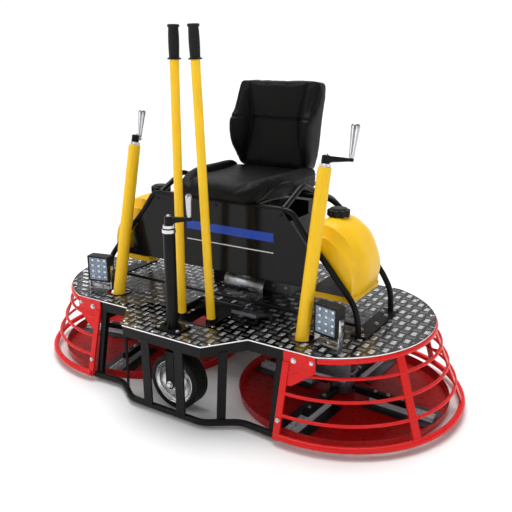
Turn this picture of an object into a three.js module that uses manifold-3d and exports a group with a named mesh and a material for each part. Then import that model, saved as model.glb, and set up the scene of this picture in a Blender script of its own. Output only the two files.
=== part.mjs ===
// Ride-on power trowel: two four-blade rotors with float pans under a tread-plate deck, steered by
// two hand levers. Millimetres, +Z up, the operator faces -Y. The origin is on the floor, midway
// between the rotors.
import * as THREE from 'three';
import { mergeVertices } from 'three/addons/utils/BufferGeometryUtils.js';
import Module from 'manifold-3d';

// ---- driving dimensions -------------------------------------------------------------------
const GAP = 0.3; // running clearance between pieces that touch
const ROTOR_X = 500; // rotor axes left and right of the centre line
const PAN_RADIUS = 430;
const PAN_LIP = 40;
const BLADES_PER_ROTOR = 4;
const BLADE = { width: 140, inner: 120, outer: 408, thickness: 3, pivotZ: 38 };
const BLADE_START_DEG = { left: 11, right: -4 };
const TILT_AXIS_Z = 255; // gearboxes tilt about fore-and-aft pins at this height
const DRIVE_SHAFT_Z = 205;

const DECK = { top: 345, plate: 5, frontY: 409, bayY: 556, bayBaseX: 298, bayTipX: 189 };
const DECK_END = { x: 408, radius: 442 }; // round ends of the deck
const SKIRT = { bottom: 298, inset: 3, thickness: 5 };
const BEAM = { bottom: 299, y: 150, width: 40, endX: 650, crossX: 150 };
const BUMPER = { z: 25, radius: 13.5 };
const GUARD_END_X = 457; // the guards stop at this upright, front and rear
const GUARD_RINGS = [
  // height, furthest reach from the middle of the machine (outer surface), tube radius
  { z: 34, reach: 990, tube: 13 },
  { z: 111, reach: 951, tube: 6.5 },
  { z: 188, reach: 916, tube: 6.5 },
  { z: 265, reach: 884, tube: 6.5 },
];
const GUARD_TOP = { z: 328.4, radius: 439, tube: 11 };
const GUARD_BAR_ANGLES = [-31, 13.5, 58]; // degrees around the rotor

const HOOP = { frontY: -165, rearY: 125, tube: 11.5 };
const SEAT_RAIL_X = 300;
const POST = { baseX: 457, baseY: -295.3, baseZ: 307.5, radius: 25.5, leanDeg: 13.4 };
const POST_LENGTH = { left: 683, right: 666 };
const POST_ARM = 98; // length of the pitch cranks' arms
const LEVER = { x: 74, y: -326, axisZ: 285, radius: 17, topX: 44, topY: -356, topZ: 1447 };
const GRIP_LENGTH = 119;
const JACK = { y: 476, outer: 22.5, bore: 18.5, leg: 17.5, frontTop: 740, rearTop: 600 };
const POST_HANDLE = 120; // lengths of the cranks' turning handles
const JACK_HANDLE = 86;
const WHEEL = { radius: 113, width: 80, axleZ: 120, y: 448 };
const LAMP = { x: 563, y: -282, z: 438, width: 103, height: 115, depth: 50, yawDeg: 13 };
const PULLEY = { x: -25, width: 30, engineY: 190, engineZ: 440, engineR: 52, shaftR: 70 };
const BELT_THICKNESS = 9;
const CAP = { x: 448, y: 12, z: 744.3 }; // the tank caps stand here
const PEDAL = { x: 210, hingeY: -200, hingeZ: 356, width: 116, length: 108, slopeDeg: 14 };

// ---- materials ----------------------------------------------------------------------------
const paint = (color, roughness, metalness) =>
  new THREE.MeshStandardMaterial({ color, roughness, metalness });
const RED = paint(0xd4201c, 0.35, 0.1);
const PAN_RED = paint(0xa01412, 0.45, 0.1);
const YELLOW = paint(0xf2c12b, 0.4, 0.05);
const BLACK = paint(0x18181a, 0.4, 0.2);
const RUBBER = paint(0x141414, 0.8, 0);
const LEATHER = paint(0x1c1c1e, 0.6, 0);
const TREAD = paint(0x55555a, 0.35, 0.9);
const STEEL = paint(0xa9adb2, 0.35, 0.9);
const CHROME = paint(0xdadde0, 0.12, 1);
const CAST = paint(0x7d8086, 0.55, 0.7);

// ---- solids -------------------------------------------------------------------------------
const wasm = await Module();
wasm.setup();

function solid(geometry) {
  const plain = geometry.clone();
  plain.deleteAttribute('normal');
  plain.deleteAttribute('uv');
  const merged = mergeVertices(plain, 1e-4);
  return new wasm.Manifold(new wasm.Mesh({
    numProp: 3,
    vertProperties: new Float32Array(merged.attributes.position.array),
    triVerts: new Uint32Array(merged.index.array),
  }));
}

function geometryOf(manifold) {
  const { vertProperties, triVerts, numProp } = manifold.getMesh();
  const position = new Float32Array((vertProperties.length / numProp) * 3);
  for (let i = 0; i < position.length / 3; i += 1) {
    for (let axis = 0; axis < 3; axis += 1) position[i * 3 + axis] = vertProperties[i * numProp + axis];
  }
  const geometry = new THREE.BufferGeometry();
  geometry.setAttribute('position', new THREE.BufferAttribute(position, 3));
  geometry.setIndex(new THREE.BufferAttribute(new Uint32Array(triVerts), 1));
  return geometry;
}

const join = (...geometries) =>
  geometryOf(geometries.map(solid).reduce((whole, piece) => whole.add(piece)));
const cut = (geometry, ...tools) =>
  geometryOf(tools.map(solid).reduce((whole, tool) => whole.subtract(tool), solid(geometry)));

const vec = (x, y, z) => new THREE.Vector3(x, y, z);
const radians = THREE.MathUtils.degToRad;

/** A box between two opposite corners. */
function block(x0, y0, z0, x1, y1, z1) {
  return new THREE.BoxGeometry(x1 - x0, y1 - y0, z1 - z0)
    .translate((x0 + x1) / 2, (y0 + y1) / 2, (z0 + z1) / 2);
}

/** A round bar from one point to another. */
function rod(from, to, radius, sides = 12, endRadius = radius) {
  const along = to.clone().sub(from);
  const turn = new THREE.Quaternion().setFromUnitVectors(vec(0, 1, 0), along.clone().normalize());
  const middle = from.clone().add(to).multiplyScalar(0.5);
  return new THREE.CylinderGeometry(endRadius, radius, along.length(), sides)
    .applyQuaternion(turn).translate(middle.x, middle.y, middle.z);
}

/** A flat bar from one point to another; `wide` is the direction of its width. */
function flatBar(from, to, width, thickness, wide) {
  const along = to.clone().sub(from);
  const zAxis = along.clone().normalize();
  const xAxis = wide.clone().addScaledVector(zAxis, -wide.dot(zAxis)).normalize();
  const yAxis = zAxis.clone().cross(xAxis);
  const frame = new THREE.Matrix4().makeBasis(xAxis, yAxis, zAxis);
  const middle = from.clone().add(to).multiplyScalar(0.5);
  return new THREE.BoxGeometry(width, thickness, along.length())
    .applyMatrix4(frame).translate(middle.x, middle.y, middle.z);
}

/** A path whose stations are exactly its own points, for tubes with crisp, evenly cut bends. */
class StationPath extends THREE.Curve {
  constructor(points) {
    super();
    this.points = points;
  }

  getPoint(t) {
    const place = t * (this.points.length - 1);
    const index = Math.min(Math.floor(place), this.points.length - 2);
    return this.points[index].clone().lerp(this.points[index + 1], place - index);
  }

  getPointAt(u) {
    return this.getPoint(u);
  }

  getTangentAt(u) {
    const last = this.points.length - 1;
    const index = Math.round(u * last);
    const before = this.points[Math.max(index - 1, 0)];
    const after = this.points[Math.min(index + 1, last)];
    return after.clone().sub(before).normalize();
  }
}

function roundSection(radius, sides) {
  const corner = (i) => new THREE.Vector2(
    radius * Math.cos((2 * Math.PI * i) / sides), radius * Math.sin((2 * Math.PI * i) / sides));
  return new THREE.Shape(Array.from({ length: sides }, (_, i) => corner(i)));
}

function tube(points, radius, sides = 8) {
  return new THREE.ExtrudeGeometry(roundSection(radius, sides), {
    extrudePath: new StationPath(points), steps: points.length - 1, bevelEnabled: false,
  });
}

/** Rounds the inner corners of a bent tube's route. */
function bentRoute(corners, bend, stations = 3) {
  const route = [corners[0]];
  for (let i = 1; i < corners.length - 1; i += 1) {
    const toBefore = corners[i - 1].clone().sub(corners[i]);
    const toAfter = corners[i + 1].clone().sub(corners[i]);
    const reach = Math.min(bend, toBefore.length() / 2.2, toAfter.length() / 2.2);
    const start = corners[i].clone().addScaledVector(toBefore.normalize(), reach);
    const end = corners[i].clone().addScaledVector(toAfter.normalize(), reach);
    const curve = new THREE.QuadraticBezierCurve3(start, corners[i], end);
    route.push(...curve.getPoints(stations));
  }
  return [...route, corners[corners.length - 1]];
}

/** Extrudes an outline drawn in XY upwards from z. */
function slab(shape, z, height, curveSegments = 12) {
  return new THREE.ExtrudeGeometry(shape, { depth: height, bevelEnabled: false, curveSegments })
    .translate(0, 0, z);
}

const outline = (points) => new THREE.Shape(points.map(([x, y]) => new THREE.Vector2(x, y)));
/** An outline in (y, z), extruded from x0 to x1. */
const sideSlab = (points, x0, x1) => new THREE.ExtrudeGeometry(outline(points),
  { depth: x1 - x0, bevelEnabled: false }).rotateX(Math.PI / 2).rotateZ(Math.PI / 2).translate(x0, 0, 0);

/** An outline in (x, z), extruded from y0 to y1. */
const frontSlab = (points, y0, y1) => new THREE.ExtrudeGeometry(outline(points),
  { depth: y1 - y0, bevelEnabled: false }).rotateX(Math.PI / 2).translate(0, y1, 0);

const turned = (profile, sides) =>
  new THREE.LatheGeometry(profile.map(([r, h]) => new THREE.Vector2(r, h)), sides);
/** A turned piece standing on Z instead of Y. */
const turnedUp = (profile, sides) => turned(profile, sides).rotateX(Math.PI / 2);
const upright = (radius, z0, z1, x = 0, y = 0, sides = 12) =>
  rod(vec(x, y, z0), vec(x, y, z1), radius, sides);
const mirrored = (geometry, x, y) => {
  const copy = geometry.clone().scale(x, y, 1);
  if (x * y < 0) {
    const source = copy.index ? copy.toNonIndexed() : copy;
    const { array } = source.attributes.position;
    for (let i = 0; i < array.length; i += 9) {
      for (let axis = 0; axis < 3; axis += 1) {
        [array[i + 3 + axis], array[i + 6 + axis]] = [array[i + 6 + axis], array[i + 3 + axis]];
      }
    }
    return source;
  }
  return copy;
};
const quarters = (geometry) =>
  [[1, 1], [-1, 1], [1, -1], [-1, -1]].map(([x, y]) => mirrored(geometry, x, y));
const halves = (geometry) => [geometry, mirrored(geometry, 1, -1)];

const model = new THREE.Group();

function add(name, geometry, material, parent = model) {
  const mesh = new THREE.Mesh(geometry, material);
  mesh.name = name;
  parent.add(mesh);
  return mesh;
}

function group(x, y, z, parent = model) {
  const place = new THREE.Group();
  place.position.set(x, y, z);
  parent.add(place);
  return place;
}

// ---- deck and main frame ------------------------------------------------------------------
/** The deck outline, moved inwards by `inset`, counter-clockwise. */
function deckOutline(inset) {
  const frontY = DECK.frontY - inset;
  const bayY = DECK.bayY - inset;
  const baseX = DECK.bayBaseX - 0.503 * inset;
  const tipX = DECK.bayTipX - 0.503 * inset;
  const radius = DECK_END.radius - inset;
  const angle = Math.asin(frontY / radius);
  const shape = new THREE.Shape();
  shape.moveTo(-baseX, -frontY);
  shape.lineTo(-tipX, -bayY);
  shape.lineTo(tipX, -bayY);
  shape.lineTo(baseX, -frontY);
  shape.absarc(DECK_END.x, 0, radius, -angle, angle, false);
  shape.lineTo(baseX, frontY);
  shape.lineTo(tipX, bayY);
  shape.lineTo(-tipX, bayY);
  shape.lineTo(-baseX, frontY);
  shape.absarc(-DECK_END.x, 0, radius, Math.PI - angle, Math.PI + angle, false);
  return shape;
}

function roundHole(x, y, radius) {
  return new THREE.Path().absarc(x, y, radius, 0, 2 * Math.PI, true);
}

function boxHole(x0, y0, x1, y1) {
  const hole = new THREE.Path();
  hole.moveTo(x0, y0);
  hole.lineTo(x0, y1);
  hole.lineTo(x1, y1);
  hole.lineTo(x1, y0);
  hole.closePath();
  return hole;
}

const FOOT_WELL = { x: 108, front: -400, back: -136 };
const BELT_HOLE = { x0: -62, x1: 12, y0: 21, y1: 198 };

function deckPlate() {
  const shape = deckOutline(0);
  const { x, front, back } = FOOT_WELL;
  shape.holes.push(boxHole(-x, front, x, back));
  shape.holes.push(boxHole(BELT_HOLE.x0, BELT_HOLE.y0, BELT_HOLE.x1, BELT_HOLE.y1));
  for (const side of [-1, 1]) {
    shape.holes.push(roundHole(side * POST.baseX, -285, 50));
    shape.holes.push(roundHole(0, side * JACK.y, JACK.leg + 1.5));
  }
  const plate = slab(shape, DECK.top - DECK.plate, DECK.plate, 10);
  const lugOffset = PEDAL.width / 2 + 4;
  const lug = (x0) =>
    block(x0 - 4, PEDAL.hingeY - 9, DECK.top - 1, x0 + 4, PEDAL.hingeY + 9, PEDAL.hingeZ + 8);
  const pin = rod(vec(PEDAL.x - lugOffset, PEDAL.hingeY, PEDAL.hingeZ),
    vec(PEDAL.x + lugOffset, PEDAL.hingeY, PEDAL.hingeZ), 4, 10);
  return join(plate, lug(PEDAL.x - lugOffset), lug(PEDAL.x + lugOffset), pin);
}

/** The bumper tube's route from the left guard round the bay to the right guard. */
const BUMPER_ROUTE = [[-450, -464], [-300, -456], [-224, -505], [-176, -538], [176, -538],
  [224, -505], [300, -456], [450, -464]].map(([x, y]) => vec(x, y, BUMPER.z));

function mainFrame() {
  const top = DECK.top - DECK.plate - GAP;
  const inner = SKIRT.inset + SKIRT.thickness;
  const along = (inset) => {
    const bayX = DECK.bayBaseX - 0.503 * inset;
    const tipX = DECK.bayTipX - 0.503 * inset;
    const frontY = -DECK.frontY + inset;
    const bayY = -DECK.bayY + inset;
    return [[-565, frontY], [-bayX, frontY], [-tipX, bayY], [tipX, bayY], [bayX, frontY], [565, frontY]];
  };
  const skirt = slab(outline([...along(SKIRT.inset), ...along(inner).reverse()]),
    SKIRT.bottom, top - SKIRT.bottom);
  const bumper = tube(bentRoute(BUMPER_ROUTE, 30, 2), BUMPER.radius, 6);
  const upright0 = flatBar(vec(432, -403, 305), vec(432, -460, BUMPER.z), 26, 6, vec(1, 0, 0));
  const upright1 = flatBar(vec(422, -394, 305), vec(422, -452, BUMPER.z), 5, 22, vec(1, 0, 0));
  const bayBars = [-78, 83].map((x) =>
    flatBar(vec(x, -550, 310), vec(x, -546, BUMPER.z), 40, 8, vec(1, 0, 0)));
  const chamferBar = (side) =>
    flatBar(vec(side * 238, -484, 310), vec(side * 232, -496, BUMPER.z), 34, 8, vec(109, side * 147, 0));
  const end = [skirt, bumper, upright0, mirrored(upright0, -1, 1), upright1, mirrored(upright1, -1, 1),
    ...bayBars, chamferBar(1), chamferBar(-1)].flatMap(halves);

  const half = BEAM.width / 2;
  const frontBeam = block(-BEAM.endX, -BEAM.y - half, BEAM.bottom, BEAM.endX, -BEAM.y + half, top);
  // The rear long beam steps back behind the belt.
  const rearBeam = block(BEAM.crossX, BEAM.y - half, BEAM.bottom, BEAM.endX, BEAM.y + half, top);
  const rearLink = block(-BEAM.crossX, 215, BEAM.bottom, BEAM.crossX, 255, top);
  const skirtBack = DECK.frontY - SKIRT.inset - 1;
  const crossBeam = block(BEAM.crossX - half, -skirtBack, BEAM.bottom, BEAM.crossX + half, skirtBack, top);
  // Low cross pieces carry the two posts ahead of the long beam.
  const postBeam = block(POST.baseX - 32, -skirtBack, 262, POST.baseX + 32, -BEAM.y + 8, 300);
  const postBeamRear = block(POST.baseX - 15, BEAM.y, BEAM.bottom, POST.baseX + 15, skirtBack, 325);
  const trunnionPlate = block(ROTOR_X - 30, 144, TILT_AXIS_Z - 30, ROTOR_X + 30, 156, BEAM.bottom + 1);
  const trunnionPin = (side, inward) => rod(vec(side * ROTOR_X, 150, TILT_AXIS_Z),
    vec(side * ROTOR_X, inward, TILT_AXIS_Z), 9, 12);
  const bearing = cut(block(130, -30, DRIVE_SHAFT_Z - 32, 170, 30, BEAM.bottom + 1),
    rod(vec(120, 0, DRIVE_SHAFT_Z), vec(180, 0, DRIVE_SHAFT_Z), 16, 16));
  const leverLug = block(142, LEVER.y - 16, LEVER.axisZ - 14, 158, LEVER.y + 16, BEAM.bottom + 1);
  const leverRod = rod(vec(-150, LEVER.y, LEVER.axisZ), vec(150, LEVER.y, LEVER.axisZ), 8, 12);

  return join(...end, frontBeam, rearBeam, mirrored(rearBeam, -1, 1), rearLink,
    crossBeam, mirrored(crossBeam, -1, 1),
    postBeam, mirrored(postBeam, -1, 1), postBeamRear, mirrored(postBeamRear, -1, 1),
    ...quarters(trunnionPlate), ...halves(trunnionPin(-1, 98)), ...halves(trunnionPin(1, 120)),
    bearing, mirrored(bearing, -1, 1), leverLug, mirrored(leverLug, -1, 1), leverRod);
}

// ---- guards -------------------------------------------------------------------------------
const guardEndY = (z) => -409 - (72 * (300 - z)) / 270; // the sloping upright at the guard's end

/** Where a guard ring's circle has its centre, so that it meets the uprights. */
function ringCircle({ z, reach, tube: thickness }) {
  const endY = guardEndY(z);
  const far = reach - thickness;
  const centre = (far ** 2 - GUARD_END_X ** 2 - endY ** 2) / (2 * (far - GUARD_END_X));
  return { x: centre, radius: far - centre };
}

function arcRoute(x, radius, z, angle, steps) {
  return Array.from({ length: steps + 1 }, (_, i) => {
    const a = -angle + (2 * angle * i) / steps;
    return vec(x + radius * Math.cos(a), radius * Math.sin(a), z);
  });
}

function guard() {
  const pieces = GUARD_RINGS.map((ring) => {
    const { x, radius } = ringCircle(ring);
    const angle = Math.PI - Math.acos((x - GUARD_END_X) / radius);
    const thick = ring.tube > 10;
    return tube(arcRoute(x, radius, ring.z, angle, thick ? 18 : 14), ring.tube, thick ? 6 : 4);
  });
  const topAngle = Math.asin(404 / GUARD_TOP.radius);
  pieces.push(tube(arcRoute(DECK_END.x, GUARD_TOP.radius, GUARD_TOP.z, topAngle, 14), GUARD_TOP.tube, 6));
  const low = ringCircle(GUARD_RINGS[0]);
  for (const degrees of GUARD_BAR_ANGLES) {
    const a = radians(degrees);
    const outward = vec(Math.cos(a), Math.sin(a), 0);
    const foot = vec(low.x, 0, GUARD_RINGS[0].z).addScaledVector(outward, low.radius);
    const head = vec(DECK_END.x, 0, GUARD_TOP.z);
    const reach = foot.clone().sub(head).setZ(0).normalize();
    head.addScaledVector(reach, GUARD_TOP.radius);
    pieces.push(flatBar(head, foot, 34, 7, vec(-Math.sin(a), Math.cos(a), 0)));
    const stub = head.clone().lerp(foot, 0.3);
    pieces.push(rod(stub, stub.clone().addScaledVector(reach, -34), 7, 8));
  }
  for (const side of [-1, 1]) {
    const head = vec(GUARD_END_X + 5, side * 411.3, 300);
    const foot = vec(GUARD_END_X + 5, -side * guardEndY(20), 20);
    pieces.push(flatBar(head, foot, 28, 9, vec(1, 0, 0)));
    // A gusset plate bolts the guard to the deck skirt; its lower part leans with the upright.
    const upper = block(461, 406.5, 292, 577, 412.5, 339.5);
    const lower = new THREE.ExtrudeGeometry(
      outline([[461, 296], [461, 215], [492, 215], [581, 280], [577, 296]]),
      { depth: 6, bevelEnabled: false }).rotateX(Math.PI / 2).translate(0, 412.5, 0);
    const { array } = lower.attributes.position;
    for (let i = 0; i < array.length; i += 3) array[i + 1] += Math.max(0, 292 - array[i + 2]) * 0.267;
    const bolt = rod(vec(492, 408, 311), vec(492, 419, 311), 9, 6);
    const footBolt = rod(vec(462, 460, 92), vec(462, 480, 92), 8, 6);
    for (const piece of [upper, lower, bolt, footBolt]) {
      pieces.push(side > 0 ? piece : mirrored(piece, 1, -1));
    }
  }
  return join(...pieces);
}

// ---- rotors -------------------------------------------------------------------------------
const BLOCK_HALF = { x: 95, y: 112 }; // the gearbox's machined mounting block

function gearbox(side) {
  const inward = -side; // towards the drive shaft
  const body = join(
    upright(92, 160, 245, 0, 0, 16),
    upright(50, 120, 165, 0, 0, 16),
    block(-BLOCK_HALF.x, -BLOCK_HALF.y, 236, BLOCK_HALF.x, BLOCK_HALF.y, 274),
    upright(58, 270, 288, 0, 0, 16),
    rod(vec(0, 0, DRIVE_SHAFT_Z), vec(inward * 132, 0, DRIVE_SHAFT_Z), 28, 14),
    block(-86, -126, 128, 86, -118, 236),
    block(-60, -119, 200, 60, -80, 237),
  );
  const reach = BLOCK_HALF.y - 16;
  const bores = [
    upright(20, 110, 202, 0, 0, 16),
    rod(vec(0, reach, TILT_AXIS_Z), vec(0, 130, TILT_AXIS_Z), 9.5, 12),
    rod(vec(0, -reach, TILT_AXIS_Z), vec(0, -130, TILT_AXIS_Z), 9.5, 12),
  ];
  if (side > 0) {
    for (const way of [-1, 1]) {
      bores.push(rod(vec(way * 76, 0, TILT_AXIS_Z), vec(way * 120, 0, TILT_AXIS_Z), 9.5, 12));
    }
    bores.splice(1, 2);
  }
  return cut(body, ...bores);
}

/** The right gearbox hangs in a second frame, so that it tilts both ways. */
function gimbal() {
  const z0 = TILT_AXIS_Z - 12;
  const z1 = TILT_AXIS_Z + 12;
  const ring = cut(block(-118, -132, z0, 118, 132, z1), block(-104, -118, z0 - 1, 104, 118, z1 + 1),
    rod(vec(0, 110, TILT_AXIS_Z), vec(0, 140, TILT_AXIS_Z), 9.5, 12),
    rod(vec(0, -140, TILT_AXIS_Z), vec(0, -110, TILT_AXIS_Z), 9.5, 12));
  const pins = [-1, 1].map((way) =>
    rod(vec(way * 78, 0, TILT_AXIS_Z), vec(way * 110, 0, TILT_AXIS_Z), 9, 12));
  return join(ring, ...pins);
}

const HUB_RADIUS = 52;

function spider(startDeg) {
  const hub = join(upright(HUB_RADIUS, 14, 84, 0, 0, 16), upright(34, 80, 100), upright(18, 96, 196));
  const bores = bladeAngles(startDeg).map((a) =>
    rod(vec(20 * Math.cos(a), 20 * Math.sin(a), BLADE.pivotZ),
      vec(80 * Math.cos(a), 80 * Math.sin(a), BLADE.pivotZ), 10.6, 8));
  return cut(hub, ...bores);
}

function bladeAngles(startDeg) {
  return Array.from({ length: BLADES_PER_ROTOR }, (_, i) =>
    radians(startDeg + (360 * i) / BLADES_PER_ROTOR));
}

/** One trowel blade along +X, with its stiffening rib, its arm and the arm's journal. */
function blade() {
  const half = BLADE.width / 2;
  const floor = 4.5; // height of the blade's underside
  return join(
    block(BLADE.inner, -half, floor, BLADE.outer, half, floor + BLADE.thickness),
    block(BLADE.inner + 16, -20, floor + 2, BLADE.outer - 8, 20, 25),
    block(66, -16, 24, 300, 16, 50),
    rod(vec(28, 0, BLADE.pivotZ), vec(70, 0, BLADE.pivotZ), 9.6, 8),
  );
}

function pan() {
  const wall = 3;
  return turnedUp([[0, 0], [424, 0], [PAN_RADIUS, PAN_LIP], [PAN_RADIUS - wall, PAN_LIP],
    [424 - wall, wall], [0, wall]], 36);
}

function thrustPlate() {
  return cut(join(upright(60, 105, 111, 0, 0, 16), upright(30, 104, 116)), upright(19.5, 100, 118));
}

function addRotor(side, name) {
  const rotor = group(side * ROTOR_X, 0, 0);
  add(`${name}_gearbox`, gearbox(side), CAST, rotor);
  add(`${name}_spider`, spider(BLADE_START_DEG[name]), CAST, rotor);
  add(`${name}_thrust_plate`, thrustPlate(), STEEL, rotor);
  add(`${name}_float_pan`, pan(), PAN_RED, rotor);
  bladeAngles(BLADE_START_DEG[name]).forEach((angle, i) => {
    const turn = group(0, 0, 0, rotor);
    turn.rotation.z = angle;
    add(`${name}_blade_${i + 1}`, blade(), STEEL, turn);
  });
}

// ---- engine and drive ---------------------------------------------------------------------
function engine() {
  const floor = DECK.top + GAP;
  const body = join(
    block(24, 70, floor, 205, 320, 570), // crankcase
    block(-205, 70, floor, -90, 320, 570), // exhaust side
    block(-205, 40, 560, 205, 330, 690), // cooling shroud
    upright(105, 680, 745, 0, 190, 16), // air filter
    rod(vec(100, -12, 492), vec(100, 72, 492), 62, 18), // cylinder head facing forwards
    rod(vec(-148, -12, 492), vec(-148, 72, 492), 50, 18),
  );
  const crankHole = rod(vec(10, PULLEY.engineY, PULLEY.engineZ), vec(64, PULLEY.engineY, PULLEY.engineZ), 13, 14);
  return cut(body, crankHole);
}

/** A grooved pulley on the X axis through (0, 0, 0). */
function pulley(radius, width) {
  const half = width / 2;
  return turned([[0, -half], [radius, -half], [radius - 7, -half + 10], [radius - 7, half - 10],
    [radius, half], [0, half]], 18).rotateZ(Math.PI / 2);
}

function enginePulley() {
  const { x, width, engineR } = PULLEY;
  return join(pulley(engineR, width), rod(vec(0, 0, 0), vec(58 - x, 0, 0), 12, 14));
}

function driveShaft() {
  const end = ROTOR_X - 132 - 4;
  const shaft = rod(vec(-end, 0, 0), vec(end, 0, 0), 15.5, 16);
  const coupling = (side) => rod(vec(side * (end - 60), 0, 0), vec(side * end, 0, 0), 26, 12);
  const wheel = pulley(PULLEY.shaftR, PULLEY.width).translate(PULLEY.x, 0, 0);
  return join(shaft, wheel, coupling(-1), coupling(1));
}

/** The belt wraps both pulleys in the YZ plane, in their grooves. */
function driveBelt() {
  const { engineY, engineZ, engineR, shaftR } = PULLEY;
  const span = Math.hypot(engineY, engineZ - DRIVE_SHAFT_Z);
  const loop = (extra) => {
    const small = engineR - 7 + extra;
    const big = shaftR - 7 + extra;
    const tilt = Math.asin((big - small) / span);
    const shape = new THREE.Shape();
    shape.absarc(0, 0, big, Math.PI / 2 - tilt, 1.5 * Math.PI + tilt, false);
    shape.absarc(span, 0, small, 1.5 * Math.PI + tilt, 2.5 * Math.PI - tilt, false);
    return shape;
  };
  const ring = loop(BELT_THICKNESS + GAP * 2);
  ring.holes.push(new THREE.Path(loop(GAP * 2).getPoints(10)));
  const width = PULLEY.width - 20 - 2 * GAP;
  const aim = Math.atan2(engineZ - DRIVE_SHAFT_Z, engineY);
  return slab(ring, -width / 2, width, 10)
    .rotateZ(aim).rotateY(Math.PI / 2).rotateX(Math.PI / 2);
}

// ---- seat, panel and tanks ----------------------------------------------------------------
function seatFrame() {
  const hoop = (y, corners) => {
    const right = corners.map(([x, z]) => vec(x, y, z));
    const left = corners.map(([x, z]) => vec(-x, y, z)).reverse();
    return tube(bentRoute([...right, ...left], 34, 2), HOOP.tube, 6);
  };
  const front = hoop(HOOP.frontY, [[630, 350], [613, 453], [473, 618], [409, 680], [337, 779], [290, 784]]);
  const rear = hoop(HOOP.rearY, [[642, 350], [637, 437], [602, 500], [402, 752], [352, 784], [290, 784]]);
  const rail = tube(bentRoute([[-165, 786], [-14, 853], [256, 753], [324, 711], [352, 640], [356, 350]]
    .map(([y, z]) => vec(SEAT_RAIL_X, y, z)), 26, 2), HOOP.tube, 6);
  const floor = DECK.top + GAP;
  const basePlate = block(605, -185, floor, 668, 145, floor + 7);
  const rearFoot = block(275, 330, floor, 325, 382, floor + 7);
  const seatPan = block(-185, -150, 786, 185, 364, 795.5);
  const panCross = block(-305, 180, 776, 305, 205, 790);
  const backBracket = block(-60, 356, 786, 60, 364, 930);
  const tieRod = rod(vec(-625, HOOP.frontY, 384), vec(625, HOOP.frontY, 384), 6.5, 8);
  return join(front, rear, rail, mirrored(rail, -1, 1), basePlate, mirrored(basePlate, -1, 1),
    rearFoot, mirrored(rearFoot, -1, 1), seatPan, panCross, backBracket, tieRod);
}

function frontPanel() {
  const half = [[455, 497], [455, 600], [307, 784]];
  return frontSlab([...half, ...half.map(([x, z]) => [-x, z]).reverse()], -181, -178);
}

/** A curved sheet that covers the front of the belt. */
function beltGuard() {
  const outer = [[18, 0], [19, 28], [27, 50], [42, 66], [62, 72]];
  const inner = outer.map(([y, z]) => [y + 2.6, z - 2.6]).reverse();
  inner[inner.length - 1] = [21, 0];
  return sideSlab([...outer, ...inner], -108, 97).translate(0, 0, DECK.top + GAP);
}

function seatCushion() {
  const core = sideSlab([[-215, 797], [-222, 806], [-214, 838], [-190, 856], [-100, 864], [250, 868],
    [250, 797]], -176, 176);
  const bolster = slab(outline([[160, -186], [182, -170], [196, -124], [220, -26], [224, 109], [230, 250],
    [160, 250]]), 799, 79);
  return join(core, bolster, mirrored(bolster, -1, 1));
}

/** The backrest has a wing along each side that reaches forward, deepest below the middle. */
function seatBackrest() {
  const half = [[180, 0], [194, 80], [200, 172], [205, 300], [205, 366], [190, 382]];
  const back = frontSlab([...half, ...half.map(([x, z]) => [-x, z]).reverse()], 0, 78);
  const wing = sideSlab([[10, 20], [-28, 30], [-72, 100], [-86, 172], [-84, 198], [-52, 240], [-2, 366],
    [10, 366]], 150, 196);
  return join(back, wing, mirrored(wing, -1, 1)).rotateX(radians(-6)).translate(0, 268, 862);
}

function tank() {
  const middle = [[400, 726], [425, 742], [466, 744], [512, 729], [552, 698], [587, 652], [609, 610],
    [620, 566], [615, 518], [598, 471], [560, 471], [470, 600], [400, 690]];
  const shoulder = [[402, 720], [430, 735], [458, 735], [489, 729], [535, 699], [563, 667], [582, 624],
    [586, 585], [585, 534], [584, 472], [560, 472], [470, 601], [402, 691]];
  const cheek = [[404, 690], [430, 698], [476, 694], [514, 668], [547, 630], [573, 592], [585, 551],
    [588, 508], [588, 473], [560, 473], [470, 602]];
  return join(frontSlab(middle, -86, 60), frontSlab(shoulder, -120, 88), frontSlab(cheek, -150, 109),
    block(396, -148, 455, 594, 107, 478), upright(30, 700, CAP.z - GAP, CAP.x, CAP.y, 16));
}

function tankCap() {
  const lobes = 8;
  const points = Array.from({ length: lobes * 4 }, (_, i) => {
    const radius = 43 + 3 * Math.cos((2 * Math.PI * i) / 4);
    const a = (2 * Math.PI * i) / (lobes * 4);
    return [radius * Math.cos(a), radius * Math.sin(a)];
  });
  return join(slab(outline(points), 0, 26), upright(38, 25, 33, 0, 0, 16));
}

// ---- steering levers ----------------------------------------------------------------------
const LEVER_TOP = vec(LEVER.topX, LEVER.topY, LEVER.topZ);
const alongLever = (z) => {
  const foot = vec(LEVER.x, LEVER.y, LEVER.axisZ);
  return foot.lerp(LEVER_TOP, (z - LEVER.axisZ) / (LEVER.topZ - LEVER.axisZ));
};
const GRIP_BOTTOM_Z = LEVER.topZ - GRIP_LENGTH;

function leftLever() {
  const sleeve =
    rod(vec(LEVER.x - 20, LEVER.y, LEVER.axisZ), vec(LEVER.x + 20, LEVER.y, LEVER.axisZ), 18, 14);
  const stub = rod(alongLever(LEVER.axisZ), alongLever(352), 13, 12);
  const bar = rod(alongLever(348), alongLever(GRIP_BOTTOM_Z), LEVER.radius, 12);
  const spigot = rod(alongLever(GRIP_BOTTOM_Z - 2), alongLever(LEVER.topZ - 12), 11, 12);
  const bore = rod(vec(LEVER.x - 30, LEVER.y, LEVER.axisZ), vec(LEVER.x + 30, LEVER.y, LEVER.axisZ), 8.5, 12);
  return mirrored(cut(join(sleeve, stub, bar, spigot), bore), -1, 1);
}

const SWAY_Z = 322; // the right lever also pivots sideways here

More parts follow.
